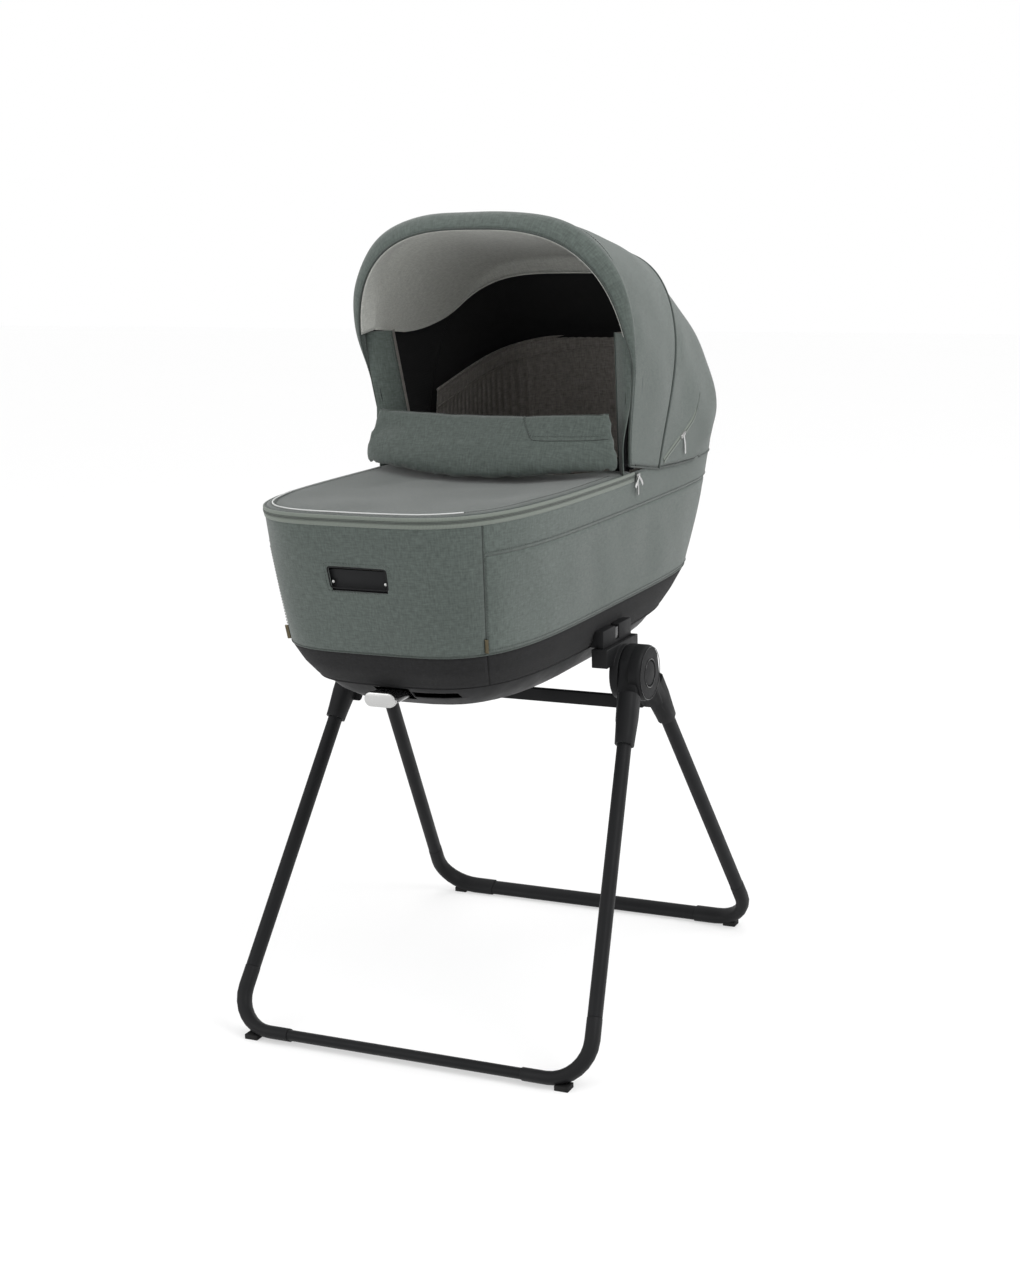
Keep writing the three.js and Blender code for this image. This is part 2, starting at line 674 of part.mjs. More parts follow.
// A crowned lid from the foot rim to the flap.
function apronSurface(lift) {
  const front = 4 - TUB_LEVELS.at(-1).foot;
  return (u, v) => {
    const y = front + (APRON_Y - front) * (1 - (1 - u) ** 1.7);
    const half = rimX(y, -2.5);
    const x = half * (2 * v - 1);
    const across = 1 - (2 * v - 1) ** 2;
    const along = Math.sin(Math.PI * Math.min(1, (y - front) / (APRON_Y - front)));
    return new THREE.Vector3(x, y, RIM_Z + GAP + lift + 9 * across * along);
  };
}

// Leans back from its arched foot on the apron to a straight top edge.
function windFlap() {
  const { thick, bottom, top } = FLAP;
  const face = (out) => (u, v) => {
    const across = 2 * u - 1;
    const half = bottom.half + (top.half - bottom.half) * v;
    const foot = bottom.y + bottom.bow * Math.abs(across) ** 2.2;
    const y = foot + (top.y - foot) * v;
    const belly = 6 * Math.sin(Math.PI * v);
    return new THREE.Vector3(half * across, y - belly + out * 0.7, bottom.z + (top.z - bottom.z) * v - out * 0.7);
  };
  return slab(face(0), face(thick), 16, 6);
}

add('zip_band', zipBand(), paleCloth());
addPair('zip_slider', zipSlider, steel);
add('apron', slab(apronSurface(4), apronSurface(0), 12, 12), greenCloth());
add('wind_flap', windFlap(), greenCloth());

// ---- Hood ------------------------------------------------------------------------------

// A point of the hood: lean is the angle of its arch from upright, t runs 0 to 1 from the
// right-hand pivot over the top to the left one, and inset moves it inwards.
function hoodPoint(lean, t, inset) {
  const back = THREE.MathUtils.smoothstep(lean, HOOD_FRONT, HOOD_BACK);
  const n = 3.4 + 2.2 * back;
  const s4 = ((lean - HOOD_FRONT) / (HOOD_BACK - HOOD_FRONT)) ** 4;
  const reach = HOOD_REACH_FRONT + (HOOD_REACH_BACK - HOOD_REACH_FRONT) * s4 - inset;
  const [c, s] = [Math.cos(Math.PI * t), Math.sin(Math.PI * t)];
  const scale = (Math.abs(c) ** n + s ** n) ** (-1 / n);
  const pinch = Math.max(0, 1 - (s * scale) / 0.5) ** 1.5;
  const wide = HOOD_WIDE + (HOOD_BASE - HOOD_WIDE) * Math.max(back * back, pinch);
  const x = (wide - inset) * c * scale;
  const out = reach * s * scale;
  return new THREE.Vector3(x, HOOD_PIVOT_Y + out * Math.sin(lean), HOOD_PIVOT_Z + out * Math.cos(lean));
}

const HOOD_START = 0.006;              // keeps the cloth's edge a little off the pivot
const along = (v) => HOOD_START + (1 - 2 * HOOD_START) * v;

function hoodSheet(lean0, lean1, inset, thick, steps) {
  const face = (depth) => (u, v) => hoodPoint(lean0 + (lean1 - lean0) * u, along(v), depth);
  return slab(face(inset), face(inset + thick), steps, 30);
}

// The visor is a padded roll between its edge and the seam behind it.
function visor() {
  const rings = [];
  const steps = 32;
  for (let i = 0; i <= steps; i += 1) {
    const t = 0.08 + 0.84 * (i / steps);
    const lean = (s) => HOOD_FRONT + (HOOD_SEAM - 0.002 - HOOD_FRONT) * s;
    const rise = hoodPoint(lean(0), t, 0).z - HOOD_PIVOT_Z;
    const full = THREE.MathUtils.smoothstep(rise, 90, 190);
    rings.push([
      hoodPoint(lean(0), t, 5 + 17 * full),
      hoodPoint(lean(0), t, 1 + 5 * full),
      hoodPoint(lean(0.35), t, 0),
      hoodPoint(lean(1), t, 0),
      hoodPoint(lean(1), t, 3.5),
      hoodPoint(lean(0.8), t, 6 + 12 * full),
      hoodPoint(lean(0.4), t, 6 + 18 * full),
    ]);
  }
  return skin(rings);
}

// A flat spring bow along one arch, with a round lug at each pivot.
function bow(lean, inset, thick, wide) {
  const stops = [];
  const steps = 36;
  const normal = new THREE.Vector3(0, Math.cos(lean), -Math.sin(lean));
  for (let i = 0; i <= steps; i += 1) {
    const t = along(i / steps);
    const outer = hoodPoint(lean, t, inset);
    const inner = hoodPoint(lean, t, inset + thick);
    stops.push([
      outer.clone().addScaledVector(normal, wide / 2),
      outer.clone().addScaledVector(normal, -wide / 2),
      inner.clone().addScaledVector(normal, -wide / 2),
      inner.clone().addScaledVector(normal, wide / 2),
    ]);
  }
  const strip = skin(stops);
  const x = hoodPoint(lean, HOOD_START, inset).x;
  const lugs = [1, -1].map((side) =>
    barX(7.5, side * (x - thick), side * x, HOOD_PIVOT_Y, HOOD_PIVOT_Z, 20));
  const holes = [1, -1].map((side) =>
    barX(4.3, side * (x - 20), side * (x + 10), HOOD_PIVOT_Y, HOOD_PIVOT_Z, 16));
  return cut(join(strip, ...lugs), ...holes);
}

function hoodPivot(side) {
  const disc = barX(13.5, 171, 184.6, HOOD_PIVOT_Y, HOOD_PIVOT_Z, 28);
  const pin = barX(4, 183, 196.2, HOOD_PIVOT_Y, HOOD_PIVOT_Z, 16);
  return onSide(join(disc, pin), side);
}

// A gusset on each side of the opening, turned in at 45 degrees from the front edge.
function sideWing(side) {
  const outline = (u, v, back) => {
    const z = RIM_Z + 16 + 165 * v;
    const front = HOOD_PIVOT_Y + (z - HOOD_PIVOT_Z) * Math.tan(HOOD_FRONT) + 16;
    const x = 181 + 6 * Math.sin(Math.PI * v * 0.5) - 42 * u;
    return new THREE.Vector3(x - back * 0.7, front + 40 * u + back * 0.7, z);
  };
  return onSide(slab((u, v) => outline(u, v, 0), (u, v) => outline(u, v, 3), 3, 8), side);
}

add('hood_cover', hoodSheet(HOOD_SEAM, HOOD_BACK, 0, HOOD_CLOTH, 15), greenCloth());
add('hood_lining', hoodSheet(-0.15, 1.5, 13, 2.5, 9), paleCloth());
add('visor', visor(), greenCloth());
add('front_bow', bow(FRONT_BOW, 9, 2.6, 12), plastic());
add('middle_bow', bow(MIDDLE_BOW, 5.6, 2.6, 12), plastic());
addPair('hood_pivot', hoodPivot, plastic);
addPair('side_wing', sideWing, greenCloth);

// The hub is off the middle of the cot, so the whole object is moved to centre its box.
root.position.y = -(HOOD_PIVOT_Y + HOOD_REACH_BACK - (TUB_LEVELS.at(-1).foot + ZIP_PROUD)) / 2;

export default root;
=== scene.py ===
"""A carrycot with a folding hood on a folding stand: cloth, fittings, finishes and studio."""

import json
import math

import bmesh
import bpy
import numpy as np
from mathutils import Matrix, Vector
from mathutils.bvhtree import BVHTree


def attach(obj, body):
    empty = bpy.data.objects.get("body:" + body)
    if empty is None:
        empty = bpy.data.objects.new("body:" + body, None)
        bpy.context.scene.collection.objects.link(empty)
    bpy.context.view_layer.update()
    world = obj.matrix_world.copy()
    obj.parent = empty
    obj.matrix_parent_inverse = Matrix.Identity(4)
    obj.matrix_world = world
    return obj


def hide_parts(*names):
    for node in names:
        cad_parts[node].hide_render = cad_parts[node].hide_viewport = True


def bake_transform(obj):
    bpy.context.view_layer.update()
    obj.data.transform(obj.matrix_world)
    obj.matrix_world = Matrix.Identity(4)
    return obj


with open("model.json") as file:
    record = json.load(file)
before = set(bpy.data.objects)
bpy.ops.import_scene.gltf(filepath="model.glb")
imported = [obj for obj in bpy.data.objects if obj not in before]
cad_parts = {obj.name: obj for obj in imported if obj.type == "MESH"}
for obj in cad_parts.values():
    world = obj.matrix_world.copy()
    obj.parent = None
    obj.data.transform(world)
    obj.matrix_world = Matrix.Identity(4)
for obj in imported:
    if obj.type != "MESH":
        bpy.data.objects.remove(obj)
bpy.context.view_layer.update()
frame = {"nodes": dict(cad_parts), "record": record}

bl_info = {
    "name": "Carrycot on stand",
    "version": (1, 0, 0),
    "blender": (4, 5, 0),
    "location": "View3D > Sidebar > Carrycot",
    "description": "Builds the cloth, fittings and finishes of a carrycot on a folding stand",
    "category": "Add Mesh",
}

JOINTS = {joint["name"]: joint for joint in frame["record"]["behaviour"]["joints"]}
BODY_OF = {
    node: body for body, nodes in frame["record"]["behaviour"]["bodies"].items() for node in nodes
}

# ---- Places, in millimetres, with y measured from the stand's folding axis ---------------

MM = 0.001
HUB_Y = JOINTS["stand_fold"]["pos_m"][1]

# The cot's plan at each height: half width, reach to the foot and to the head, and how
# square each end is.
TUB_Z = np.array([538, 565, 593, 725, 779.0])
TUB_HALF = np.array([165, 176, 182.5, 194, 197.0])
TUB_FOOT = np.array([345, 369, 386, 423, 436.0])
TUB_HEAD = np.array([362, 393, 415, 462, 478.0])
TUB_FOOT_SQUARE = np.array([3.6, 3.9, 4.2, 4, 3.9])
TUB_HEAD_SQUARE = np.array([3.8, 4.2, 5, 6.4, 7.0])

RIM_Z = 779.0
BELT_Z = 725.0
COVER_EDGE_Z = 593.0
SKIRT_EDGE_Z = 541.0
CORNER_RIGHT = math.radians(-66.8)     # the seam between the foot panel and the side
CORNER_LEFT = math.radians(-113.2)
RIM_RISE = 5.0                         # the rim is this much higher at the foot
RISE_FROM_Z = 640.0                    # and the cot's side is level from here down
WINDOW_HALF, WINDOW_LOW, WINDOW_HIGH = 42.5, 679.5, 706.5
WINDOW_LIFT = 4.5                      # the rise carries the window up by this much
SEAM_STEPS = np.array([0.3, 1, 2.5, 4.5])   # where a panel has extra rows near a seam

HUB_X, HUB_Z = 241.2, 498.0            # the hub's outer face and the folding axis
BUTTON_RADIUS, KNUCKLE_RADIUS = 20.6, 38.2

ZIP_END_Y = 56.0
SLIDER_X, SLIDER_Y, SLIDER_Z = 203.4, 62.0, 773.0

APRON_FOOT_Y, APRON_LENGTH = -434.5, 484.5
FLAP_FOOT_Y, FLAP_BOW = -68.0, 68.0    # the flap's foot, and how far its ends lie behind
FLAP_FOOT_Z, FLAP_TOP_Y, FLAP_TOP_Z = 776.0, 4.0, 868.0
FLAP_FOOT_HALF, FLAP_TOP_HALF, FLAP_HALF_THICK = 203.0, 188.0, 6.5

HOOD_REAR_Z = 765.0                    # where the hood's cloth ends behind the rim
HOOD_CENTRE = (0, 180, 850)            # a point inside the hood
VISOR_TIP_Z, VISOR_HEM_Z = 898.0, 1131.0
WING_FOOT_Z, WING_TOP_Z = 776.0, 981.0
HEAD_PANEL_FOOT_Z, HEAD_PANEL_TOP_Z, HEAD_PANEL_Y = 600.0, 950.0, 188.0
PLEAT, CHANNEL = 15.0, 46.0            # widths of the head panel's pleats and the lining's

# ---- The camera, in metres ----------------------------------------------------------------

CAMERA_PLACE = (1.3346, HUB_Y - 2.8059, 1.2167)
CAMERA_TARGET = (0.0198, HUB_Y, 0.530)
CAMERA_ROLL = math.radians(-1.5307)
CAMERA_LENS = 60.33


# ---- Shapes worked out as whole arrays ---------------------------------------------------

def smooth(x):
    """3x^2 - 2x^3 on 0 to 1, level at both ends."""
    x = np.clip(x, 0, 1)
    return x * x * (3 - 2 * x)


def unit(v):
    """Each vector over its own length."""
    return v / np.maximum(np.linalg.norm(v, axis=-1, keepdims=True), 1e-9)


def stack(x, y, z):
    """Three arrays as points, broadcast to one shape."""
    return np.stack(np.broadcast_arrays(x, y, z), -1).astype(float)


def resample(points, count):
    """The same line with count points at equal steps of its length."""
    step = np.linalg.norm(np.diff(points, axis=0), axis=1)
    length = np.concatenate([[0], np.cumsum(step)])
    at = np.linspace(0, length[-1], count)
    return np.stack([np.interp(at, length, points[:, k]) for k in range(3)], -1)


def catmull_rom(keys, t):
    """The Catmull-Rom curve of each coordinate of keys, at t steps past the second key: a
    cubic between two keys whose slope at each is half the difference of its neighbours."""
    i = t.astype(int)
    t = (t - i).reshape(-1, *[1] * (keys.ndim - 1))
    a, b, c, d = keys[i], keys[i + 1], keys[i + 2], keys[i + 3]
    return 0.5 * (2 * b + (c - a) * t + (2 * a - 5 * b + 4 * c - d) * t**2
                  + (3 * b - a - 3 * c + d) * t**3)


def soft_line(corners, count):
    """A rounded line through a few points, by a Catmull-Rom curve."""
    p = np.asarray(corners, float)
    p = np.vstack([2 * p[0] - p[1], p, 2 * p[-1] - p[-2]])
    return catmull_rom(p, np.linspace(0, len(p) - 3 - 1e-9, count))


def signed_power(x, power):
    """|x|^power with the sign of x, which squares off a circle's cosine and sine."""
    return np.sign(x) * np.abs(x) ** power


def half_round(square):
    """Cosine, sine and radius of the upper half of |x|^n + |y|^n = 1, in polar steps."""
    t = np.linspace(0, math.pi, 4001)
    c, s = np.cos(t), np.sin(t)
    return c, s, (np.abs(c) ** square + s**square) ** (-1 / square)


def tub(phi, z, out=0.0):
    """The cot's plan at height z: the superellipse |x/a|^n + |y/b|^n = 1 in polar form, with
    the foot's b and n below the x axis and the head's above it, and the rim's rise."""
    half = np.interp(z, TUB_Z, TUB_HALF) + out
    c, s = np.cos(phi), np.sin(phi)
    foot = s < 0
    reach = np.where(foot, np.interp(z, TUB_Z, TUB_FOOT), np.interp(z, TUB_Z, TUB_HEAD)) + out
    n = np.where(foot, np.interp(z, TUB_Z, TUB_FOOT_SQUARE), np.interp(z, TUB_Z, TUB_HEAD_SQUARE))
    r = (np.abs(c / half) ** n + np.abs(s / reach) ** n) ** (-1 / n)
    full = RIM_RISE * smooth((z - RISE_FROM_Z) / (RIM_Z - RISE_FROM_Z))
    return stack(r * c, r * s, z + full * np.clip(-r * s / TUB_FOOT[-1], 0, 1))


def even_angles(start, end, count, z=BELT_Z):
    """Angles from start to end that step the plan's edge at equal lengths."""
    phi = np.linspace(start, end, 4000)
    step = np.linalg.norm(np.diff(tub(phi, z), axis=0), axis=1)
    length = np.concatenate([[0], np.cumsum(step)])
    return np.interp(np.linspace(0, length[-1], count), length, phi), length[-1]


def rim_angle(y, z=RIM_Z):
    """The polar angle of the rim's right-hand point at a given y."""
    phi = np.linspace(-1.2, 1.2, 4000)
    return float(np.interp(y, tub(phi, z)[:, 1], phi))


def tuck(distance, width=7.0, drop=2.2):
    """How far cloth dives into a seam: a quarter circle over the last width."""
    share = 1 - np.clip(distance / width, 0, 1)
    return drop * (1 - np.sqrt(1 - 0.999 * share**2))


def ripple(u, v, size):
    """Slack in cloth: a sum of three products of sines of the two lengths."""
    return size * (
        np.sin(u / 31 + 1.3) * np.sin(v / 47 + 0.4)
        + 0.5 * np.sin(u / 17 + v / 39 + 2)
        + 0.3 * np.sin(u / 61 - v / 23)
    )


# ---- Meshes ------------------------------------------------------------------------------

def to_frame(points):
    """Millimetres from the folding axis to metres in the object's frame."""
    return points * MM + np.array([0, HUB_Y, 0])


def make_object(name, vertices, faces, loop_uv, material):
    """A mesh object from vertices in the object's frame, faces and a UV for each corner."""
    mesh = bpy.data.meshes.new(name)
    mesh.from_pydata(vertices.tolist(), [], [list(f) for f in faces])
    layer = mesh.uv_layers.new(name="UVMap")
    layer.data.foreach_set("uv", np.asarray(loop_uv, np.float32).ravel())
    mesh.polygons.foreach_set("use_smooth", np.ones(len(mesh.polygons), bool))
    mesh.validate()
    mesh.update()
    obj = bpy.data.objects.new(name, mesh)
    obj.data.materials.append(material)
    bpy.context.scene.collection.objects.link(obj)
    return obj


def grid(name, points, material, wrap=False, loop=False, caps=False, inside=None, hole=None):
    """A surface through points[row, column], in millimetres. wrap joins the last column to
    the first and loop the last row to the first. UVs are lengths along the two ways, in
    metres. Faces point away from inside, or from each row's middle."""
    rows, cols = points.shape[:2]
    i, j = np.meshgrid(np.arange(rows if loop else rows - 1),
                       np.arange(cols if wrap else cols - 1), indexing="ij")
    i, j = i.ravel(), j.ravel()
    i1, j1 = (i + 1) % rows, (j + 1) % cols
    across = np.linalg.norm(np.roll(points, -1, 1) - points, axis=-1).mean(0)
    down = np.linalg.norm(np.roll(points, -1, 0) - points, axis=-1).mean(1)
    u = np.concatenate([[0], np.cumsum(across)]) * MM
    v = np.concatenate([[0], np.cumsum(down)]) * MM
    faces = np.stack([i * cols + j, i * cols + j1, i1 * cols + j1, i1 * cols + j], -1)
    uv = np.stack([np.stack([u[j], v[i]], -1), np.stack([u[j + 1], v[i]], -1),
                   np.stack([u[j + 1], v[i + 1]], -1), np.stack([u[j], v[i + 1]], -1)], 1)
    flat = points.reshape(-1, 3)
    corner = flat[faces]
    middle = corner.mean(1)
    if hole is not None:
        keep = ~hole(middle)
        faces, uv, corner, middle, i = faces[keep], uv[keep], corner[keep], middle[keep], i[keep]
    normal = np.cross(corner[:, 2] - corner[:, 0], corner[:, 3] - corner[:, 1])
    centre = points.mean(1)[i] if inside is None else np.asarray(inside, float)
    flip = (normal * (middle - centre)).sum() < 0
    if flip:
        faces, uv = faces[:, ::-1], uv[:, ::-1]
    faces, uv = faces.tolist(), uv.reshape(-1, 2)
    if caps:
        first, last = list(range(cols)), list(range((rows - 1) * cols, rows * cols))
        faces += [first if flip else first[::-1], last[::-1] if flip else last]
        uv = np.vstack([uv, np.zeros((2 * cols, 2))])
    return make_object(name, to_frame(flat), faces, uv, material)


def sweep_points(path, section, up, size=1.0):
    """A section of (side, top) points carried along a path, square to it."""
    path = np.asarray(path, float)
    along = unit(np.gradient(path, axis=0))
    side = unit(np.cross(along, np.asarray(up, float)))
    top = np.cross(side, along)
    section = np.asarray(section, float)
    size = np.broadcast_to(np.asarray(size, float), len(path))[:, None, None]
    return (path[:, None] + size * (section[None, :, :1] * side[:, None]
                                    + section[None, :, 1:] * top[:, None]))


def oval(wide, tall, count=12, n=2.0):
    """The closed section |s/wide|^n + |t/tall|^n = 1."""
    t = np.linspace(0, 2 * np.pi, count, endpoint=False)
    return np.stack([wide * signed_power(np.cos(t), 2 / n), tall * signed_power(np.sin(t), 2 / n)], -1)


def cordlet(name, path, radius, material, up=(0, 0, 1), loop=False, count=8):
    """A piping or round bar: a circle carried along a path. Its UV map follows it."""
    path = np.asarray(path, float)
    if loop:
        path = path[:-1]
        closed = np.vstack([path[-1], path, path[0]])
        points = sweep_points(closed, oval(radius, radius, count), up)[1:-1]
    else:
        points = sweep_points(path, oval(radius, radius, count), up)
    return grid(name, points, material, wrap=True, loop=loop, caps=not loop)


def stitches(name, path, material, up=(0, 0, 1), pitch=4.2, long=2.9, thick=0.55):
    """A row of thread stitches: the same four-sided lozenge bar at each step of a path,
    turned to the path there."""
    path = np.asarray(path, float)
    total = np.linalg.norm(np.diff(path, axis=0), axis=1).sum()
    count = max(int(total / pitch), 2)
    at = resample(path, 3 * count + 1)
    centre = at[1::3]
    along = unit(at[2::3] - at[0:-1:3])
    side = unit(np.cross(along, np.asarray(up, float)))
    top = np.cross(side, along)
    ends = np.array([[-0.5, 0.45], [-0.32, 1], [0.32, 1], [0.5, 0.45]])
    ring = oval(thick, thick * 0.8, 4)
    body = (centre[:, None, None] + ends[None, :, None, :1] * long * along[:, None, None]
            + ends[None, :, None, 1:] * (ring[None, None, :, :1] * side[:, None, None]
                                         + ring[None, None, :, 1:] * top[:, None, None]))
    base = np.arange(len(centre))[:, None, None] * 16
    i, j = np.meshgrid(np.arange(3), np.arange(4), indexing="ij")
    quad = np.stack([i * 4 + j, i * 4 + (j + 1) % 4, (i + 1) * 4 + (j + 1) % 4, (i + 1) * 4 + j], -1)
    ends_quad = np.array([[3, 2, 1, 0], [12, 13, 14, 15]])
    quad = np.vstack([quad.reshape(-1, 4), ends_quad])
    faces = (base + quad[None]).reshape(-1, 4)
    obj = make_object(name, to_frame(body.reshape(-1, 3)), faces.tolist(),
                      np.zeros((faces.size, 2)), material)
    outward(obj)
    return obj


def outward(obj):
    """Merges doubles and turns the faces of closed shells out."""
    work = bmesh.new()
    work.from_mesh(obj.data)
    bmesh.ops.remove_doubles(work, verts=work.verts, dist=1e-6)
    bmesh.ops.recalc_face_normals(work, faces=work.faces)
    work.to_mesh(obj.data)
    work.free()


def bake(obj):
    """Turns the object's modifiers into its mesh."""
    graph = bpy.context.evaluated_depsgraph_get()
    mesh = bpy.data.meshes.new_from_object(
        obj.evaluated_get(graph), preserve_all_data_layers=True, depsgraph=graph)
    old = obj.data
    obj.modifiers.clear()
    obj.data = mesh
    bpy.data.meshes.remove(old)
    mesh.name = obj.name
    return obj


def thicken(obj, thick):
    """Gives a sheet its thickness on the inside."""
    wall = obj.modifiers.new("Thickness", "SOLIDIFY")
    wall.thickness = thick * MM
    wall.offset = -1
    return bake(obj)


def coordinates(obj):
    """The object's vertices as an array."""
    co = np.empty(len(obj.data.vertices) * 3)
    obj.data.vertices.foreach_get("co", co)
    return co.reshape(-1, 3)


def move_to(obj, co):
    """Puts the object's vertices at an array of places."""
    obj.data.vertices.foreach_set("co", co.ravel())
    obj.data.update()


def draw_in(obj, shares):
    """Shrinks an object about its own middle to a share of its size along each axis."""
    co = coordinates(obj)
    middle = (co.max(0) + co.min(0)) / 2
    move_to(obj, middle + (co - middle) * shares)


def dress(obj, material):
    """Gives the whole object one finish."""
    obj.data.materials.clear()
    obj.data.materials.append(material)


def copy_of(node, name):
    """A new object with a copy of a node's mesh."""
    obj = bpy.data.objects.new(name, frame["nodes"][node].data.copy())
    bpy.context.scene.collection.objects.link(obj)
    return obj


def subdivide(obj):
    """One live level of smooth subdivision, for bake to apply."""
    finer = obj.modifiers.new("Smooth", "SUBSURF")
    finer.levels = finer.render_levels = 1


CLOTH_FRAMES = 20


def inflate(obj, cap, voxel=0.005, force=4.0):
    """Swells a closed pad as stuffed cloth: an even remesh of voxel metres, some frames of
    cloth with inner pressure and no gravity, each point's move held under cap millimetres,
    then an even smoothing and one subdivision."""
    remesh = obj.modifiers.new("Even mesh", "REMESH")
    remesh.mode = "VOXEL"
    remesh.voxel_size = voxel
    remesh.use_smooth_shade = True
    bake(obj)
    scene = bpy.context.scene
    rest = coordinates(obj)
    cloth = obj.modifiers.new("Cloth", "CLOTH")
    cloth.settings.use_pressure = True
    cloth.settings.uniform_pressure_force = force
    cloth.settings.effector_weights.gravity = 0
    cloth.point_cache.frame_end = CLOTH_FRAMES
    for number in range(1, CLOTH_FRAMES + 1):
        scene.frame_set(number)
    bake(obj)
    scene.frame_set(1)
    move = coordinates(obj) - rest
    far = np.linalg.norm(move, axis=1, keepdims=True)
    move *= np.minimum(1, cap * MM / np.maximum(far, 1e-9))
    move_to(obj, rest + move)
    even = obj.modifiers.new("Even", "SMOOTH")
    even.factor = 0.5
    even.iterations = 6
    subdivide(obj)
    return bake(obj)


def plan_uv(obj, across, along):
    """A UV map in metres from two directions."""
    co = coordinates(obj)
    uv = np.stack([co @ np.asarray(across, float), co @ np.asarray(along, float)], -1)
    layer = obj.data.uv_layers.get("UVMap") or obj.data.uv_layers.new(name="UVMap")
    corner = np.empty(len(obj.data.loops), int)
    obj.data.loops.foreach_get("vertex_index", corner)
    layer.data.foreach_set("uv", uv[corner].astype(np.float32).ravel())


def label(obj, slot, nodes):
    """Names a finished piece's material slot and the solids that it replaces."""
    if nodes:
        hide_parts(*nodes)
    return obj


def ride(obj, body, slot, *nodes):
    """Fastens a finished piece to its body, its material slot and the solids it replaces."""
    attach(obj, body)
    return label(obj, slot, nodes)


# ---- Materials ---------------------------------------------------------------------------

class Finish:
    """A material under construction: its node tree, and short ways to add nodes."""

    def __init__(self, name, colour, roughness, metallic=0.0, sheen=0.0, coat=0.0, specular=0.5):
        self.material = bpy.data.materials.new(name)
        self.material.use_nodes = True
        self.material.diffuse_color = (*colour, 1)
        self.tree = self.material.node_tree
        self.shader = self.tree.nodes["Principled BSDF"]
        self.colour = colour
        self.set("Base Color", (*colour, 1))
        self.set("Roughness", roughness)
        self.set("Metallic", metallic)
        self.set("Sheen Weight", sheen)
        self.set("Sheen Roughness", 0.45)
        self.set("Coat Weight", coat)
        self.set("Coat Roughness", 0.2)
        self.set("Specular IOR Level", specular)
        self.place = self.tree.nodes.new("ShaderNodeTexCoord")

    def set(self, socket, value):
        """Sets one of the shader's own sockets."""
        self.shader.inputs[socket].default_value = value

    def link(self, source, target):
        """Joins two sockets."""
        self.tree.links.new(source, target)

    def noise(self, scale, detail=2.0, where="Object", stretch=(1, 1, 1)):
        """Cloudy noise, drawn out along the axes whose stretch is under 1."""
        place = self.tree.nodes.new("ShaderNodeMapping")
        place.inputs["Scale"].default_value = stretch
        self.link(self.place.outputs[where], place.inputs["Vector"])
        node = self.tree.nodes.new("ShaderNodeTexNoise")
        node.inputs["Scale"].default_value = scale
        node.inputs["Detail"].default_value = detail
        self.link(place.outputs["Vector"], node.inputs["Vector"])
        return node.outputs["Fac"]

    def wave(self, pitch, direction, where="UV", distortion=0.0):
        """A ripple whose crests are pitch metres apart."""
        node = self.tree.nodes.new("ShaderNodeTexWave")
        node.bands_direction = direction
        node.inputs["Scale"].default_value = 2 * math.pi / (20 * pitch)
        node.inputs["Distortion"].default_value = distortion
        node.inputs["Detail"].default_value = 1.0
        self.link(self.place.outputs[where], node.inputs["Vector"])
        return node.outputs["Fac"]

    def range(self, source, low, high, start=0.0, end=1.0):
        """Carries start to end onto low to high, and holds the ends."""
        node = self.tree.nodes.new("ShaderNodeMapRange")
        for name, value in zip(("From Min", "From Max", "To Min", "To Max"), (start, end, low, high)):
            node.inputs[name].default_value = value
        self.link(source, node.inputs["Value"])
        return node.outputs["Result"]

    def math(self, kind, a, b):
        """Adds or multiplies two sockets, or a socket and a number."""
        node = self.tree.nodes.new("ShaderNodeMath")
        node.operation = kind
        for socket, value in zip(node.inputs, (a, b)):
            if isinstance(value, (int, float)):
                socket.default_value = value
            else:
                self.link(value, socket)
        return node.outputs[0]

    def shade(self, *factors):
        """Multiplies the base colour by each factor in turn."""
        value = factors[0]
        for factor in factors[1:]:
            value = self.math("MULTIPLY", value, factor)
        node = self.tree.nodes.new("ShaderNodeVectorMath")
        node.operation = "SCALE"
        node.inputs[0].default_value = self.colour
        self.link(value, node.inputs["Scale"])
        self.link(node.outputs["Vector"], self.shader.inputs["Base Color"])

    def bump(self, height, distance, strength=1.0):
        """Relief from a height."""
        node = self.tree.nodes.new("ShaderNodeBump")
        node.inputs["Distance"].default_value = distance
        node.inputs["Strength"].default_value = strength
        self.link(height, node.inputs["Height"])
        self.link(node.outputs["Normal"], self.shader.inputs["Normal"])

    def edge_wear(self, amount):
        """Paler where the surface turns sharply outwards."""
        shape = self.tree.nodes.new("ShaderNodeNewGeometry")
        return self.range(shape.outputs["Pointiness"], 1.0, 1.0 + amount, 0.52, 0.62)


def cloth(name, colour, pitch=0.0011, melange=0.16, sheen=0.25, roughness=0.9):
    """Plain weave: two crossed ripples at the thread's pitch, flecks of paler and darker
    yarn along both ways, and broad soft tone."""
    finish = Finish(name, colour, roughness, sheen=sheen, specular=0.25)
    warp = finish.wave(pitch, "X", distortion=0.6)
    weft = finish.wave(pitch, "Y", distortion=0.6)
    weave = finish.math("MULTIPLY", warp, weft)
    flecks = finish.noise(420, 3, "UV", (1, 0.22, 1))
    slubs = finish.noise(420, 3, "UV", (0.22, 1, 1))
    broad = finish.noise(7, 2)
    finish.shade(
        finish.range(weave, 0.93, 1.07),
        finish.range(flecks, 1 - melange, 1 + melange, 0.3, 0.7),
        finish.range(slubs, 1 - melange, 1 + melange, 0.3, 0.7),
        finish.range(broad, 0.95, 1.05, 0.3, 0.7),
    )
    finish.bump(finish.math("ADD", weave, finish.math("MULTIPLY", flecks, 0.6)), 0.00025, 0.6)
    return finish.material


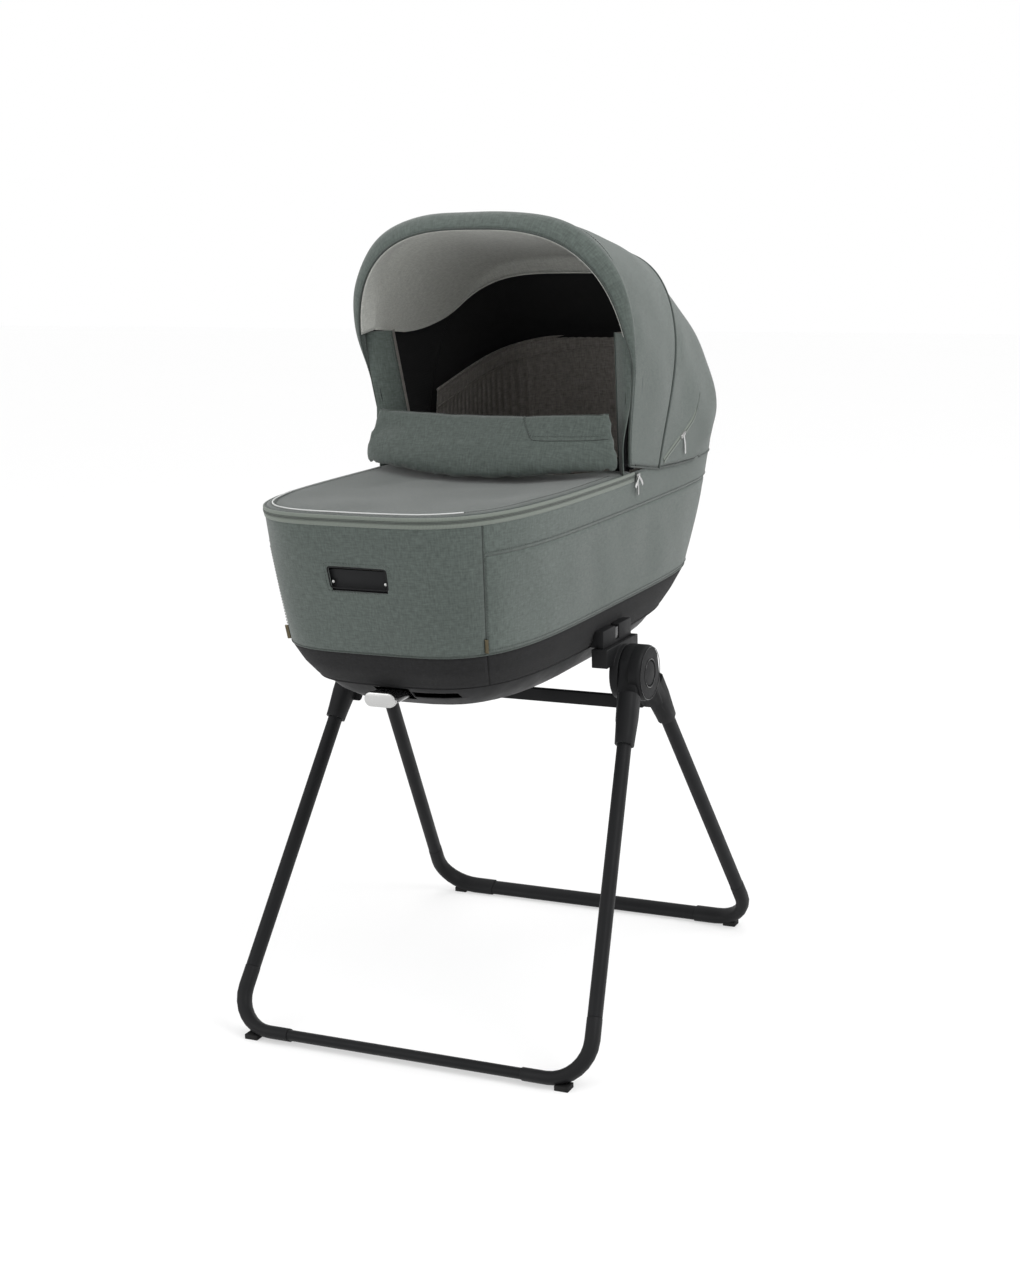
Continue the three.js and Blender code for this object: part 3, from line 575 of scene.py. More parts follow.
def mesh_cloth(name, colour):
    """Knitted mesh: fine round holes as dark dots in rows."""
    finish = Finish(name, colour, 0.85, sheen=0.1, specular=0.2)
    holes = finish.math("MULTIPLY", finish.wave(0.0022, "X"), finish.wave(0.0022, "Y"))
    finish.shade(finish.range(holes, 1.3, 0.4, 0.3, 0.8), finish.range(finish.noise(6), 0.85, 1.15))
    finish.bump(holes, 0.0003, 0.7)
    return finish.material


def ribbed_tape(name, colour, pitch):
    """Zip or binding tape: close ribs across its length."""
    finish = Finish(name, colour, 0.7, sheen=0.15, specular=0.3)
    ribs = finish.wave(pitch, "X")
    finish.shade(finish.range(ribs, 0.8, 1.12), finish.range(finish.noise(300), 0.93, 1.07))
    finish.bump(ribs, 0.0003, 0.8)
    return finish.material


def plastic(name, colour, roughness, grain=0.00012, coat=0.0, wear=0.5):
    """Moulded plastic: a fine spark-eroded grain, slight sheen change and rubbed edges."""
    finish = Finish(name, colour, roughness, coat=coat, specular=0.13)
    grains = finish.noise(1400, 2)
    finish.shade(finish.range(finish.noise(9), 0.9, 1.1, 0.3, 0.7), finish.edge_wear(wear))
    finish.link(finish.range(finish.noise(35, 3), roughness - 0.06, roughness + 0.06, 0.3, 0.7),
                finish.shader.inputs["Roughness"])
    if grain:
        finish.bump(grains, grain, 0.5)
    return finish.material


def metal(name, colour, roughness, metallic=1.0, brushed=(1, 1, 1), wear=0.25):
    """Metal: streaks of roughness along the draw, a faint orange peel, paler edges."""
    finish = Finish(name, colour, roughness, metallic=metallic)
    streaks = finish.noise(260, 3, "Object", brushed)
    finish.shade(finish.range(finish.noise(12), 0.94, 1.06, 0.3, 0.7), finish.edge_wear(wear))
    finish.link(finish.range(streaks, roughness - 0.05, roughness + 0.07, 0.3, 0.7),
                finish.shader.inputs["Roughness"])
    finish.bump(finish.noise(500, 2), 0.00004, 0.4)
    return finish.material


def make_finishes(sizes):
    """Every finish by name."""
    def green(share):
        return tuple(share * c for c in sizes.cloth_colour)

    return {
        "green": cloth("Green melange", green(1)),
        # Painted shade: the same green cloth, darkened on the apron's top face
        "green_apron_painted_shade": cloth("Green melange, apron, painted shade", green(0.66)),
        # Painted shade: the same green cloth, darkened on the foot panel, which turns away from the key light
        "green_foot_painted_shade": cloth("Green melange, foot, painted shade", green(0.9)),
        # Painted shade: the same green cloth, darkened on the leaning wind flap
        "green_flap_painted_shade": cloth("Green melange, flap, painted shade", green(0.86)),
        "green_piping": cloth("Green piping", green(0.62), 0.0008),
        "stitch": cloth("Green thread", green(0.72), 0.0005),
        "zip_tape": ribbed_tape("Zip tape", (0.15, 0.17, 0.148), 0.0018),
        "zip_coil": ribbed_tape("Zip coil", (0.085, 0.098, 0.086), 0.0014),
        "reflective": ribbed_tape("Reflective piping", (0.6, 0.61, 0.6), 0.001),
        "black": cloth("Black cloth", (0.009, 0.009, 0.0095), 0.0012, 0.25, 0.03),
        "light": cloth("Light lining", (0.56, 0.565, 0.53), 0.0009, 0.1, 0.2),
        "mesh": mesh_cloth("Black mesh", (0.008, 0.008, 0.009)),
        "brown": cloth("Brown lining", (0.25, 0.232, 0.216), 0.0012, 0.2, 0.1),
        "cream": cloth("Cream cotton", (0.66, 0.63, 0.55), 0.0009, 0.07, 0.2),
        "board": plastic("Board", (0.05, 0.05, 0.05), 0.75),
        "tube": plastic("Dark anodised tube", (0.007, 0.0072, 0.0078), 0.5, 0.00004, 0.0, 0.3),
        "moulding": plastic("Black moulding", (0.009, 0.0092, 0.0098), 0.52),
        "gloss": plastic("Gloss black", (0.01, 0.01, 0.011), 0.16, 0.0, 0.6, 0.2),
        "rubber": plastic("Rubber", (0.012, 0.012, 0.012), 0.85),
        "silver": metal("Satin silver", (0.5, 0.5, 0.495), 0.27, 1.0, (0.1, 1, 1)),
        "steel": metal("Bright steel", (0.3, 0.3, 0.295), 0.25),
        "gold": metal("Dark gold", (0.1, 0.085, 0.055), 0.35),
    }


# ---- Moulded and metal parts -------------------------------------------------------------

EDGE_ANGLE = math.radians(38)          # an edge sharper than this is rounded and stays crisp
FOOT_PAD_SHARES = (0.72, 0.72, 1)


def refined(node, material, slot, bevel):
    """A copy of a part's solid with its facets merged, its edges rounded by bevel and its
    faces shaded smooth, in place of the plain one."""
    obj = copy_of(node, node + "_finished")
    work = bmesh.new()
    work.from_mesh(obj.data)
    bmesh.ops.remove_doubles(work, verts=work.verts, dist=2e-6)
    bmesh.ops.dissolve_limit(work, angle_limit=math.radians(0.6), verts=work.verts, edges=work.edges)
    work.to_mesh(obj.data)
    work.free()
    dress(obj, material)
    obj.data.polygons.foreach_set("use_smooth", np.ones(len(obj.data.polygons), bool))
    if bevel:
        edge = obj.modifiers.new("Rounded edges", "BEVEL")
        edge.width = bevel * MM
        edge.segments = 3
        edge.limit_method = "ANGLE"
        edge.angle_limit = EDGE_ANGLE
        edge.harden_normals = False
    bake(obj)
    obj.data.set_sharp_from_angle(angle=EDGE_ANGLE)
    if "foot_pad" in node:
        draw_in(obj, FOOT_PAD_SHARES)
    plan_uv(obj, (1, 0.3, 0), (0, 0.3, 1))
    return ride(obj, BODY_OF[node], slot, node)


# For each kind of moulded or metal node: its finish, its material slot and its edge radius.
HARD_PARTS = {
    "leg_tube": ("tube", "tube", 0.0), "floor_bar": ("tube", "tube", 0.0),
    "corner_elbow": ("moulding", "moulding", 0.8), "foot_pad": ("rubber", "pad", 1.6),
    "knuckle": ("moulding", "moulding", 0.5), "fold_button": ("moulding", "moulding", 0.4),
    "pivot_pin": ("steel", "steel", 0.4), "hub_socket": ("moulding", "moulding", 1.2),
    "crossbar_bracket": ("moulding", "moulding", 1.0), "crossbar": ("tube", "tube", 2.0),
    "base_tray": ("moulding", "moulding", 0.8), "adapter_plate": ("moulding", "moulding", 0.8),
    "adapter_latch": ("gloss", "steel", 0.4), "release_knob_cap": ("silver", "satin_metal", 0.0),
    "release_knob_neck": ("gloss", "moulding", 0.0), "release_bar": ("steel", "steel", 0.4),
    "front_grip": ("moulding", "moulding", 1.0), "rim_rail": ("tube", "tube", 1.0),
    "backrest_board": ("board", "board", 0.8), "hood_pivot": ("moulding", "moulding", 0.6),
}


def hard_part(node):
    """The finish, slot and edge radius of a moulded or metal node, or None for cloth."""
    for word in sorted(HARD_PARTS, key=len, reverse=True):
        if word in node:
            return HARD_PARTS[word]
    return None


def add_hard_parts(kit):
    """Every moulded or metal part, with its edges rounded."""
    for node in frame["nodes"]:
        found = hard_part(node)
        if found:
            finish, slot, bevel = found
            refined(node, kit[finish], slot, bevel)


def add_hub_details(kit):
    """On each hub: a ring round the fold button and a line round the knuckle's face."""
    t = np.linspace(0, 2 * np.pi, 73)
    for side, name in ((1, "right"), (-1, "left")):
        for piece, x, radius, thick in (("button_ring", HUB_X, BUTTON_RADIUS, 0.9),
                                        ("knuckle_line", HUB_X - 0.1, KNUCKLE_RADIUS, 0.5)):
            circle = stack(side * x, radius * np.cos(t), HUB_Z + radius * np.sin(t))
            ring = cordlet(f"{piece}_{name}", circle, thick, kit["gloss"], (1, 0, 0), loop=True)
            ride(ring, "rear_frame", "moulding")


# ---- Cot cloth ---------------------------------------------------------------------------

def tub_panel(name, material, start, end, low, high, columns, rows, slack=0.5, hole=None,
              lines=(), levels=()):
    """A cloth panel on the cot's side. It follows the plan, dives into its four seams by
    quarter circles, and ripples a little. It has a column at each x of lines and a row at
    each z of levels, where a hole's edges run."""
    even, length = even_angles(start, end, columns)
    cell = np.linspace(0, length, columns)
    across = np.unique(np.concatenate([cell, SEAM_STEPS, length - SEAM_STEPS]))
    phi = np.interp(across, cell, even)
    if len(lines):
        fine = np.linspace(start, end, 6000)
        wanted = np.interp(np.asarray(lines), tub(fine, BELT_Z)[:, 0], fine)
        phi = np.unique(np.concatenate([phi, wanted]))
        across = np.interp(phi, even, cell)
    z = np.unique(np.concatenate([np.linspace(low, high, rows), low + SEAM_STEPS, high - SEAM_STEPS,
                                  np.asarray(levels, float)]))
    gap = np.minimum(np.minimum(across, length - across)[None], np.minimum(z - low, high - z)[:, None])
    out = 1.2 + ripple(across[None], z[:, None], slack) * smooth(gap / 30) - tuck(gap)
    points = tub(phi[None], z[:, None], out)
    obj = grid(name, points, material, inside=(0, 20, 650), hole=hole)
    return thicken(obj, 1.8)


def window_hole(p):
    """Whether each point lies in the grip window, which the rise carries up a little."""
    return ((np.abs(p[:, 0]) < WINDOW_HALF) & (p[:, 2] > WINDOW_LOW + 3)
            & (p[:, 2] < WINDOW_HIGH + 6))


def add_tub(kit):
    """Green panels, belt, black skirt, hems, window edge, corner zips and rim binding."""
    turn = 2 * math.pi
    low, high = CORNER_LEFT, CORNER_RIGHT
    # The foot panel's cloth carries painted shade
    foot = tub_panel("foot_panel", kit["green_foot_painted_shade"], low, high, COVER_EDGE_Z, RIM_Z - 10, 60, 34, 0.7,
                     window_hole, (-WINDOW_HALF, WINDOW_HALF), (WINDOW_LOW, WINDOW_HIGH))
    ride(foot, "carrycot", "green_cloth", "tub_cover")
    around = (high, low + turn)
    for name, tone, angles, bottom, top, columns, rows, slack, nodes in (
        ("side_panel", "green", around, COVER_EDGE_Z, BELT_Z, 260, 24, 0.9, ()),
        ("belt_band", "green", around, BELT_Z, RIM_Z - 1, 260, 12, 0.3, ()),
        ("skirt_side", "black", around, SKIRT_EDGE_Z, COVER_EDGE_Z, 240, 10, 0.5, ("tub_skirt",)),
        ("skirt_foot", "black", (low, high), SKIRT_EDGE_Z, COVER_EDGE_Z, 50, 10, 0.5, ()),
    ):
        panel = tub_panel(name, kit[tone], *angles, bottom, top, columns, rows, slack)
        ride(panel, "carrycot", f"{tone}_cloth", *nodes)

    phi, _ = even_angles(0, turn, 361)
    for name, z, out, radius, finish in (
        ("cover_hem", COVER_EDGE_Z, 0.4, 1.3, "green_piping"),
        ("skirt_hem", SKIRT_EDGE_Z, -0.5, 1.6, "black"),
        ("rim_binding", RIM_Z - 1, -0.5, 1.8, "green_piping"),
    ):
        ring = cordlet(name, tub(phi, z, out), radius, kit[finish], loop=True)
        ride(ring, "carrycot", "green_cloth" if finish != "black" else "black_cloth")
    phi, _ = even_angles(*around, 300)
    for name, z, out in (("hem_stitches", COVER_EDGE_Z + 5.5, 1.6), ("belt_stitches", BELT_Z + 5, 1.7)):
        row = stitches(name, tub(phi, z, out), kit["stitch"])
        ride(row, "carrycot", "green_cloth")
    add_corner_zips(kit)
    add_window_edge(kit)


def add_corner_zips(kit):
    """At each foot corner: a closed zip from the belt to the hem, its cloth lips and its
    dark gold puller."""
    for angle, sway, name in ((CORNER_RIGHT, 0.008, "right"), (CORNER_LEFT, -0.008, "left")):
        seam = tub(angle, np.linspace(COVER_EDGE_Z + 2, RIM_Z - 14, 40), 0.2)
        lip = cordlet(f"corner_seam_{name}", seam, 1.1, kit["green_piping"], (0, 1, 0))
        ride(lip, "carrycot", "green_cloth")
        flange = tub(angle + sway, np.linspace(COVER_EDGE_Z + 6, BELT_Z, 30), 1.9)
        row = stitches(f"corner_stitches_{name}", flange, kit["stitch"], (0, 1, 0))
        ride(row, "carrycot", "green_cloth")
        pull = tub(angle, COVER_EDGE_Z + np.array([3, 8, 18, 22.0]), 3.2)
        tab = grid(f"corner_puller_{name}",
                   sweep_points(resample(pull, 12), oval(2.8, 1.1, 12, 3), (0, 1, 0)),
                   kit["gold"], wrap=True, caps=True)
        ride(tab, "carrycot", "steel")


def add_window_edge(kit):
    """The grip window: a bound edge, a stitched outline and two bright rivets."""
    half_z = (WINDOW_HIGH - WINDOW_LOW) / 2
    middle = (WINDOW_HIGH + WINDOW_LOW) / 2 + WINDOW_LIFT

    def outline(grow):
        """A squared-off oval on the foot panel, grow wider than the window."""
        t = np.linspace(0, 2 * np.pi, 241)
        x = (WINDOW_HALF + grow) * signed_power(np.cos(t), 0.13)
        z = middle + (half_z + grow) * signed_power(np.sin(t), 0.13)
        phi = np.linspace(CORNER_LEFT, CORNER_RIGHT, 3000)
        return tub(np.interp(x, tub(phi, BELT_Z)[:, 0] * 0.985, phi), z, 1.4)

    edge = cordlet("window_binding", outline(0.2), 0.9, kit["black"], (0, 1, 0), loop=True)
    ride(edge, "carrycot", "black_cloth")
    row = stitches("window_stitches", outline(5.5), kit["stitch"], (0, 1, 0))
    ride(row, "carrycot", "green_cloth")
    inside = outline(-3.5)
    t = np.linspace(0, np.pi / 2, 6)
    r, h = 2.4 * np.cos(t), 1.2 * np.sin(t)
    turn = np.linspace(0, 2 * np.pi, 20, endpoint=False)
    for side, name in ((1, "right"), (-1, "left")):
        corner = inside[np.argmin(inside[:, 2] - 2 * side * inside[:, 0])]
        dome = stack(corner[0] + r[:, None] * np.cos(turn), corner[1] + 1.5 - h[:, None],
                     corner[2] + 3 + r[:, None] * np.sin(turn))
        rivet = grid(f"window_rivet_{name}", dome, kit["steel"], wrap=True, caps=True,
                     inside=(corner[0], corner[1] + 9, corner[2] + 3))
        ride(rivet, "carrycot", "steel")


def add_lining(kit):
    """The padded inside of the cot, whose sewn channels are a sine of the length round it,
    its floor and its underside, each a fan of rings that shrink to a middle."""
    phi, length = even_angles(0, 2 * math.pi, 421)
    phi = phi[:-1]
    across = np.linspace(0, length, 421)[:-1]
    top = RIM_Z - 3
    z = np.linspace(551, top, 30)[:, None]
    puff = 3.2 * np.abs(np.sin(across * math.pi / CHANNEL)) ** 0.6
    points = tub(phi[None], z, -12.5 - puff[None] * smooth((top - z) / 18))
    wall = grid("cot_lining", points, kit["brown"], wrap=True, inside=(0, 20, 3000))
    face_towards(wall, points.mean((0, 1)))
    ride(wall, "carrycot", "lining_cloth", "tub_wall")
    share = np.linspace(0.02, 1, 14)[:, None, None]
    for name, ring, middle, below, finish, slot in (
        ("cot_floor", points[0], (0, 20, 549.5), 100, "brown", "lining_cloth"),
        ("cot_underside", tub(phi, SKIRT_EDGE_Z, -3), (0, 10, SKIRT_EDGE_Z), 900, "black", "black_cloth"),
    ):
        fan = middle + share * (ring[None] - middle)
        ride(grid(name, fan, kit[finish], wrap=True, inside=(0, 20, below)), "carrycot", slot)


def face_towards(obj, centre):
    """Turns all faces of an open sheet towards a point."""
    place = to_frame(np.asarray(centre, float))
    mesh = obj.data
    middles = np.empty(len(mesh.polygons) * 3)
    normals = np.empty(len(mesh.polygons) * 3)
    mesh.polygons.foreach_get("center", middles)
    mesh.polygons.foreach_get("normal", normals)
    if ((middles.reshape(-1, 3) - place) * normals.reshape(-1, 3)).sum() > 0:
        mesh.flip_normals()


# ---- Zip, apron and flap -----------------------------------------------------------------

def add_zip(kit):
    """The rim zip: two tapes with a coil between, and a slider with two pulls each side."""
    end = rim_angle(ZIP_END_Y)
    phi, _ = even_angles(-math.pi - end, end, 320)
    for name, z, offsets, finish in (
        ("zip_tape_lower", (765, 766, 768, 771, 771.6), (0.6, 1.9, 2.1, 2.1, 1.2), "zip_tape"),
        ("zip_coil_lower", (771.2, 771.9, 772.7, 773.3), (1.2, 2.6, 2.6, 1.4), "zip_coil"),
        ("zip_coil_upper", (773.1, 773.7, 774.5, 775.2), (1.4, 2.6, 2.6, 1.2), "zip_coil"),
        ("zip_tape_upper", (774.8, 775.4, 777.5, 779.2, 780), (1.2, 2.1, 2.1, 1.7, 0.2), "zip_tape"),
    ):
        height = np.array(z)[:, None]
        out = np.array(offsets)[:, None]
        strip = grid(name, tub(phi[None], height, out), kit[finish], inside=(0, 0, 770))
        ride(thicken(strip, 0.8), "carrycot", "lining_cloth", *(["zip_band"] if "lower" in name else []))
    size = np.interp(np.linspace(0, 1, 12), [0, 0.15, 0.6, 1], [0.5, 0.8, 1.1, 1])
    for sign, name in ((1, "right"), (-1, "left")):
        refined(f"zip_slider_{name}", kit["steel"], "steel", 0.5)
        start = np.array([sign * SLIDER_X, SLIDER_Y, SLIDER_Z])
        for number, (back, up) in enumerate(((-15, -14), (13, -13)), 1):
            path = soft_line([start, start + [sign * 0.8, back * 0.5, up * 0.5],
                              start + [sign * 0.3, back, up]], 12)
            bar = grid(f"zip_pull_{name}_{number}",
                       sweep_points(path, oval(2.3, 0.8, 12, 3), (sign, 0, 0), size),
                       kit["silver"], wrap=True, caps=True)
            ride(bar, f"zip_slider_{name}", "steel")


def apron_height(x, y):
    """Above the rim: a quick rise off the zip, then a hammock dip that grows to the flap."""
    phi = np.arctan2(y, x)
    edge = tub(phi, RIM_Z)
    gap = np.hypot(edge[..., 0] - x, edge[..., 1] - y)
    rise = RIM_RISE * np.clip(-y / TUB_FOOT[-1], 0, 1)
    roll = 4.2 * np.sqrt(1 - (1 - np.clip(gap / 14, 0, 1)) ** 2 * 0.999)
    dip = 8.5 * smooth((y + 420) / 380) * smooth(gap / 150)
    return RIM_Z - 1.5 + rise + roll - dip + ripple(x * 1.2, y, 0.7) * smooth(gap / 40)


def apron_half(y, inset):
    """The apron's half width at y: the rim's superellipse, drawn in by inset."""
    reach = np.where(y < 0, TUB_FOOT[-1], TUB_HEAD[-1]) - inset
    n = np.where(y < 0, TUB_FOOT_SQUARE[-1], TUB_HEAD_SQUARE[-1])
    return (TUB_HALF[-1] - inset) * np.maximum(1 - np.minimum(np.abs(y) / reach, 1) ** n, 0) ** (1 / n)


def add_apron(kit):
    """The zipped cover over the foot end, with its reflective piping and its stitching. Its
    rows close up towards the round foot and its columns towards the sides."""
    y = (APRON_FOOT_Y + APRON_LENGTH * np.linspace(0, 1, 90) ** 1.9)[:, None]
    even = np.linspace(-1, 1, 81)
    across = 0.35 * np.sin(even * math.pi / 2) + 0.65 * even
    x = apron_half(y, 1.0) * across[None]
    # The apron's cloth carries painted shade
    sheet = grid("apron_cloth", stack(x, y, apron_height(x, y)), kit["green_apron_painted_shade"], inside=(0, -200, 500))
    thicken(sheet, 2.0)
    ride(sheet, "apron_cover", "green_cloth", "apron")

    def rim_line(start, end, count, out, lift):
        """A line on the apron that keeps one distance from the rim."""
        phi, _ = even_angles(math.radians(start), math.radians(end), count)
        line = tub(phi, RIM_Z, out)
        line[:, 2] = apron_height(line[:, 0], line[:, 1]) + lift
        return line

    piping = cordlet("reflective_piping", rim_line(-123, -70, 90, -9.5, 1.0), 1.1, kit["reflective"])
    ride(piping, "apron_cover", "green_cloth")
    row = stitches("apron_stitches", rim_line(-180, 0, 300, -13.5, 0.4), kit["stitch"])
    ride(row, "apron_cover", "green_cloth")


def flap_point(u, v, out):
    """The flap's middle surface, with out mm of padding forwards. Its foot on the apron is
    arched by |across|^2.2, and it leans back to a straight top with half a sine of bulge."""
    across = 2 * u - 1
    half = FLAP_FOOT_HALF + (FLAP_TOP_HALF - FLAP_FOOT_HALF) * smooth(v / 0.9)
    foot_y = FLAP_FOOT_Y + FLAP_BOW * np.abs(across) ** 2.2
    foot_z = FLAP_FOOT_Z + 9 * np.abs(across) ** 2 + 3
    bulge = 7 * np.sin(math.pi * np.clip(v, 0, 1) ** 0.7)
    x = half * across
    y = foot_y + (FLAP_TOP_Y - foot_y) * v - bulge * 0.8 - out * 0.75
    z = foot_z + (FLAP_TOP_Z - foot_z) * v + bulge * 0.2 + out * 0.65
    return stack(x, y, z)


# Seams on the flap, as shares of its width and height.
FLAP_SEAMS = {
    "flap_patch_seam": ((0.64, 0.97), (0.665, 0.8), (0.7, 0.56), (0.73, 0.5), (0.85, 0.495), (0.985, 0.49)),
    "flap_top_seam": ((0.015, 0.975), (0.3, 0.985), (0.7, 0.985), (0.985, 0.975)),
}
FLAP_STITCHES = ((0.655, 0.9), (0.69, 0.64), (0.72, 0.565), (0.85, 0.56), (0.975, 0.555))
FLAP_IN_FRONT = 14.0                   # clear of the swollen pad, to drop the seams from


def add_flap(kit):
    """The padded wind flap, swollen as stuffed cloth, with a patch seam and stitching."""
    u = np.linspace(0, 1, 60)
    v = np.linspace(0, 1, 24)
    thick = FLAP_HALF_THICK * np.sqrt(1 - (2 * v - 1) ** 4 * 0.75)
    profile_v = np.concatenate([v, v[::-1]])
    profile_out = np.concatenate([thick, -thick[::-1]])
    taper = np.sqrt(1 - (np.abs(2 * u - 1) ** 14) * 0.6)
    points = flap_point(u[:, None], profile_v[None], profile_out[None] * taper[:, None])
    # The flap's cloth carries painted shade
    pad = grid("wind_flap_pad", points, kit["green_flap_painted_shade"], wrap=True, caps=True)
    outward(pad)
    inflate(pad, 7.0, 0.0045, 3.0)
    plan_uv(pad, (1, 0, 0), (0, 0.6, 0.8))
    dress(pad, kit["green_flap_painted_shade"])
    ride(pad, "flap", "green_cloth", "wind_flap")

    surface = surface_finder(pad)

    def flap_line(corners, count, lift):
        """A rounded line on the flap through a few shares of its width and height."""
        t = soft_line([(across, up, 0) for across, up in corners], count)
        return surface(flap_point(t[:, 0], t[:, 1], FLAP_IN_FRONT), lift)

    for name, corners in FLAP_SEAMS.items():
        seam = cordlet(name, flap_line(corners, 160, 0.25), 0.8, kit["green_piping"], (0, 0.5, 1))
        ride(seam, "flap", "green_cloth")
    row = stitches("flap_stitches", flap_line(FLAP_STITCHES, 120, 0.35), kit["stitch"], (0, -1, 1))
    ride(row, "flap", "green_cloth")


def surface_finder(obj):
    """A function that drops points onto the object's surface from in front of it."""
    tree = BVHTree.FromPolygons([v.co for v in obj.data.vertices],
                                [p.vertices for p in obj.data.polygons])
    way = Vector((0, 0.75, -0.65)).normalized()

    def drop(points, lift):
        found = []
        for p in to_frame(points):
            place, normal, _, _ = tree.ray_cast(Vector(p), way)
            if place is None:
                place, normal, _, _ = tree.find_nearest(Vector(p))
            found.append(place + normal * lift * MM)
        return (np.array(found) - np.array([0, HUB_Y, 0])) / MM

    return drop


# ---- Hood --------------------------------------------------------------------------------

COLUMNS = 121


def arch(base, top, half, half_at_base, square):
    """An arch from one side over to the other in the leaning plane through base and top,
    each a (y, z). Its share of the height f and of the width follow |c|^n + |f|^n = 1, and
    its half width grows from half_at_base to half over the lowest 0.62 of the height."""
    c, s, r = half_round(square)
    share = r * s
    width = half_at_base + (half - half_at_base) * smooth(share / 0.62)
    y = base[0] + share * (top[0] - base[0])
    z = base[1] + share * (top[1] - base[1])
    return resample(stack(width * r * c, y, z), COLUMNS)


ARCH_A = arch((41, 790), (0, 1144), 219, 197.5, 3.9)            # the visor's seam
ARCH_B = arch((150, 772), (281, 1090), 210, 200, 3.4)           # the seam between the panels
ARCH_C = arch((235, 768), (440, 958), 203, 199.5, 4.4)          # two more across the rear
ARCH_D = arch((300, 766), (474, 850), 199.5, 199, 5.5)


def rim_arch():
    """The hood's rear edge: the head end of the rim."""
    start = rim_angle(335, HOOD_REAR_Z)
    phi, _ = even_angles(start, math.pi - start, COLUMNS, RIM_Z)
    return tub(phi, HOOD_REAR_Z, 1.0)


def hood_surface(u):
    """The hood's outer face. u runs from 0 at the visor's seam, 1 at the next seam, to 4 at
    the rim. Each side-to-side line joins the same share of each arch's length, straight from
    seam to seam and then by a Catmull-Rom curve."""
    keys = np.stack([ARCH_B, ARCH_C, ARCH_D, rim_arch()])
    keys = np.concatenate([2 * keys[:1] - keys[1:2] * 0.5 - ARCH_A[None] * 0.5, keys,
                           keys[-1:] + [[(0, 2, -60)]]])
    u = np.asarray(u, float)
    first = ARCH_A[None] + np.clip(u, 0, 1)[:, None, None] * (ARCH_B - ARCH_A)[None]
    swell = 4.0 * np.sin(math.pi * np.clip(u, 0, 1))[:, None, None]
    radial = unit(ARCH_A * [1, 0, 1] - [0, 0, 850])
    first = first + swell * radial[None] * smooth((ARCH_A[:, 2] - 800) / 120)[None, :, None]
    rest = catmull_rom(keys, np.clip(u - 1, 0, 3 - 1e-9))
    return np.where((u <= 1)[:, None, None], first, rest)


def inset(points, depth):
    """Moves a surface inwards along its own normals by depth."""
    du = np.gradient(points, axis=0)
    dv = np.gradient(points, axis=1)
    normal = unit(np.cross(du, dv))
    sign = np.sign((normal * (points - HOOD_CENTRE)).sum())
    return points - sign * normal * np.asarray(depth)


def hood_cloth(obj, slot, *nodes):
    """Lets a hood piece fold between the cot and the front bow."""
    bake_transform(obj)
    return label(obj, slot, nodes)


def edge_lengths(points):
    """Each grid point's length along its column and its row, and its distance from the
    nearest edge of the grid."""
    across = np.linalg.norm(np.diff(points, axis=1), axis=-1)
    down = np.linalg.norm(np.diff(points, axis=0), axis=-1)
    j = np.concatenate([np.zeros((len(points), 1)), np.cumsum(across, 1)], 1)
    i = np.concatenate([np.zeros((1, points.shape[1])), np.cumsum(down, 0)], 0)
    return i, j, np.minimum(np.minimum(i, i[-1:] - i), np.minimum(j, j[:, -1:] - j))


def hood_panel(name, material, low, high, rows, slack):
    """One cloth panel of the hood between two seams, diving into them."""
    near = np.array([0.004, 0.012, 0.025, 0.045]) * (high - low)
    u = np.unique(np.concatenate([np.linspace(low, high, rows), low + near, high - near]))
    points = hood_surface(u)
    i, j, gap = edge_lengths(points)
    fold = ripple(j, i * 1.4, slack) * smooth(gap / 45)
    points = inset(points, (tuck(gap, 8, 2.4) - fold - 0.4)[..., None])
    return thicken(grid(name, points, material, inside=HOOD_CENTRE), 1.8)


def add_hood(kit):
    """Two panels, the padded visor, seam pipings and a rear vent zip on each side."""
    front = hood_panel("hood_front_panel", kit["green"], 0, 1, 26, 0.9)
    hood_cloth(front, "green_cloth", "hood_cover")
    rear = hood_panel("hood_rear_panel", kit["green"], 1, 4, 60, 1.3)
    hood_cloth(rear, "green_cloth")
    for name, u, radius in (("seam_piping_front", 0.0, 1.9), ("seam_piping_middle", 1.0, 1.9),
                            ("hood_rim_piping", 3.999, 1.6)):
        line = hood_surface(np.array([u]))[0]
        ring = cordlet(name, resample(line, 200), radius, kit["green_piping"], (0, 1, 0.05))
        hood_cloth(ring, "green_cloth")
    u = np.linspace(0, 4, 120)
    for column, name in ((0, "right"), (-1, "left")):
        line = resample(hood_surface(u)[:, column], 90)
        hood_cloth(cordlet(f"hood_side_hem_{name}", line, 1.2, kit["green_piping"]), "green_cloth")
    for name, u in (("hood_stitches_front", 0.04), ("hood_stitches_middle", 1.05)):
        points = inset(hood_surface(np.array([u - 0.03, u, u + 0.03])), -0.9)[1]
        hood_cloth(stitches(name, points, kit["stitch"], (0, 1, 0.05)), "green_cloth")
    add_bows(kit)
    add_visor(kit)
    add_vent(kit)


def add_bows(kit):
    """The two flat spring bows under the cloth: a flat bar carried along a line of the
    hood's face drawn in, leaning as the cloth does."""
    for name, u, lean, body in (("front_bow", 0.22, -0.3, "hood_front"),
                                ("middle_bow", 1.0, 0.5, "hood_middle")):
        line = inset(hood_surface(np.array([u - 0.04, u, u + 0.04])), 6.0)[1]
        points = sweep_points(resample(line, 150), oval(5.5, 1.2, 12, 4), (0, 1, lean))
        bar = grid(f"{name}_bar", points, kit["moulding"], wrap=True, caps=True)
        outward(bar)
        ride(bar, body, "moulding", name)


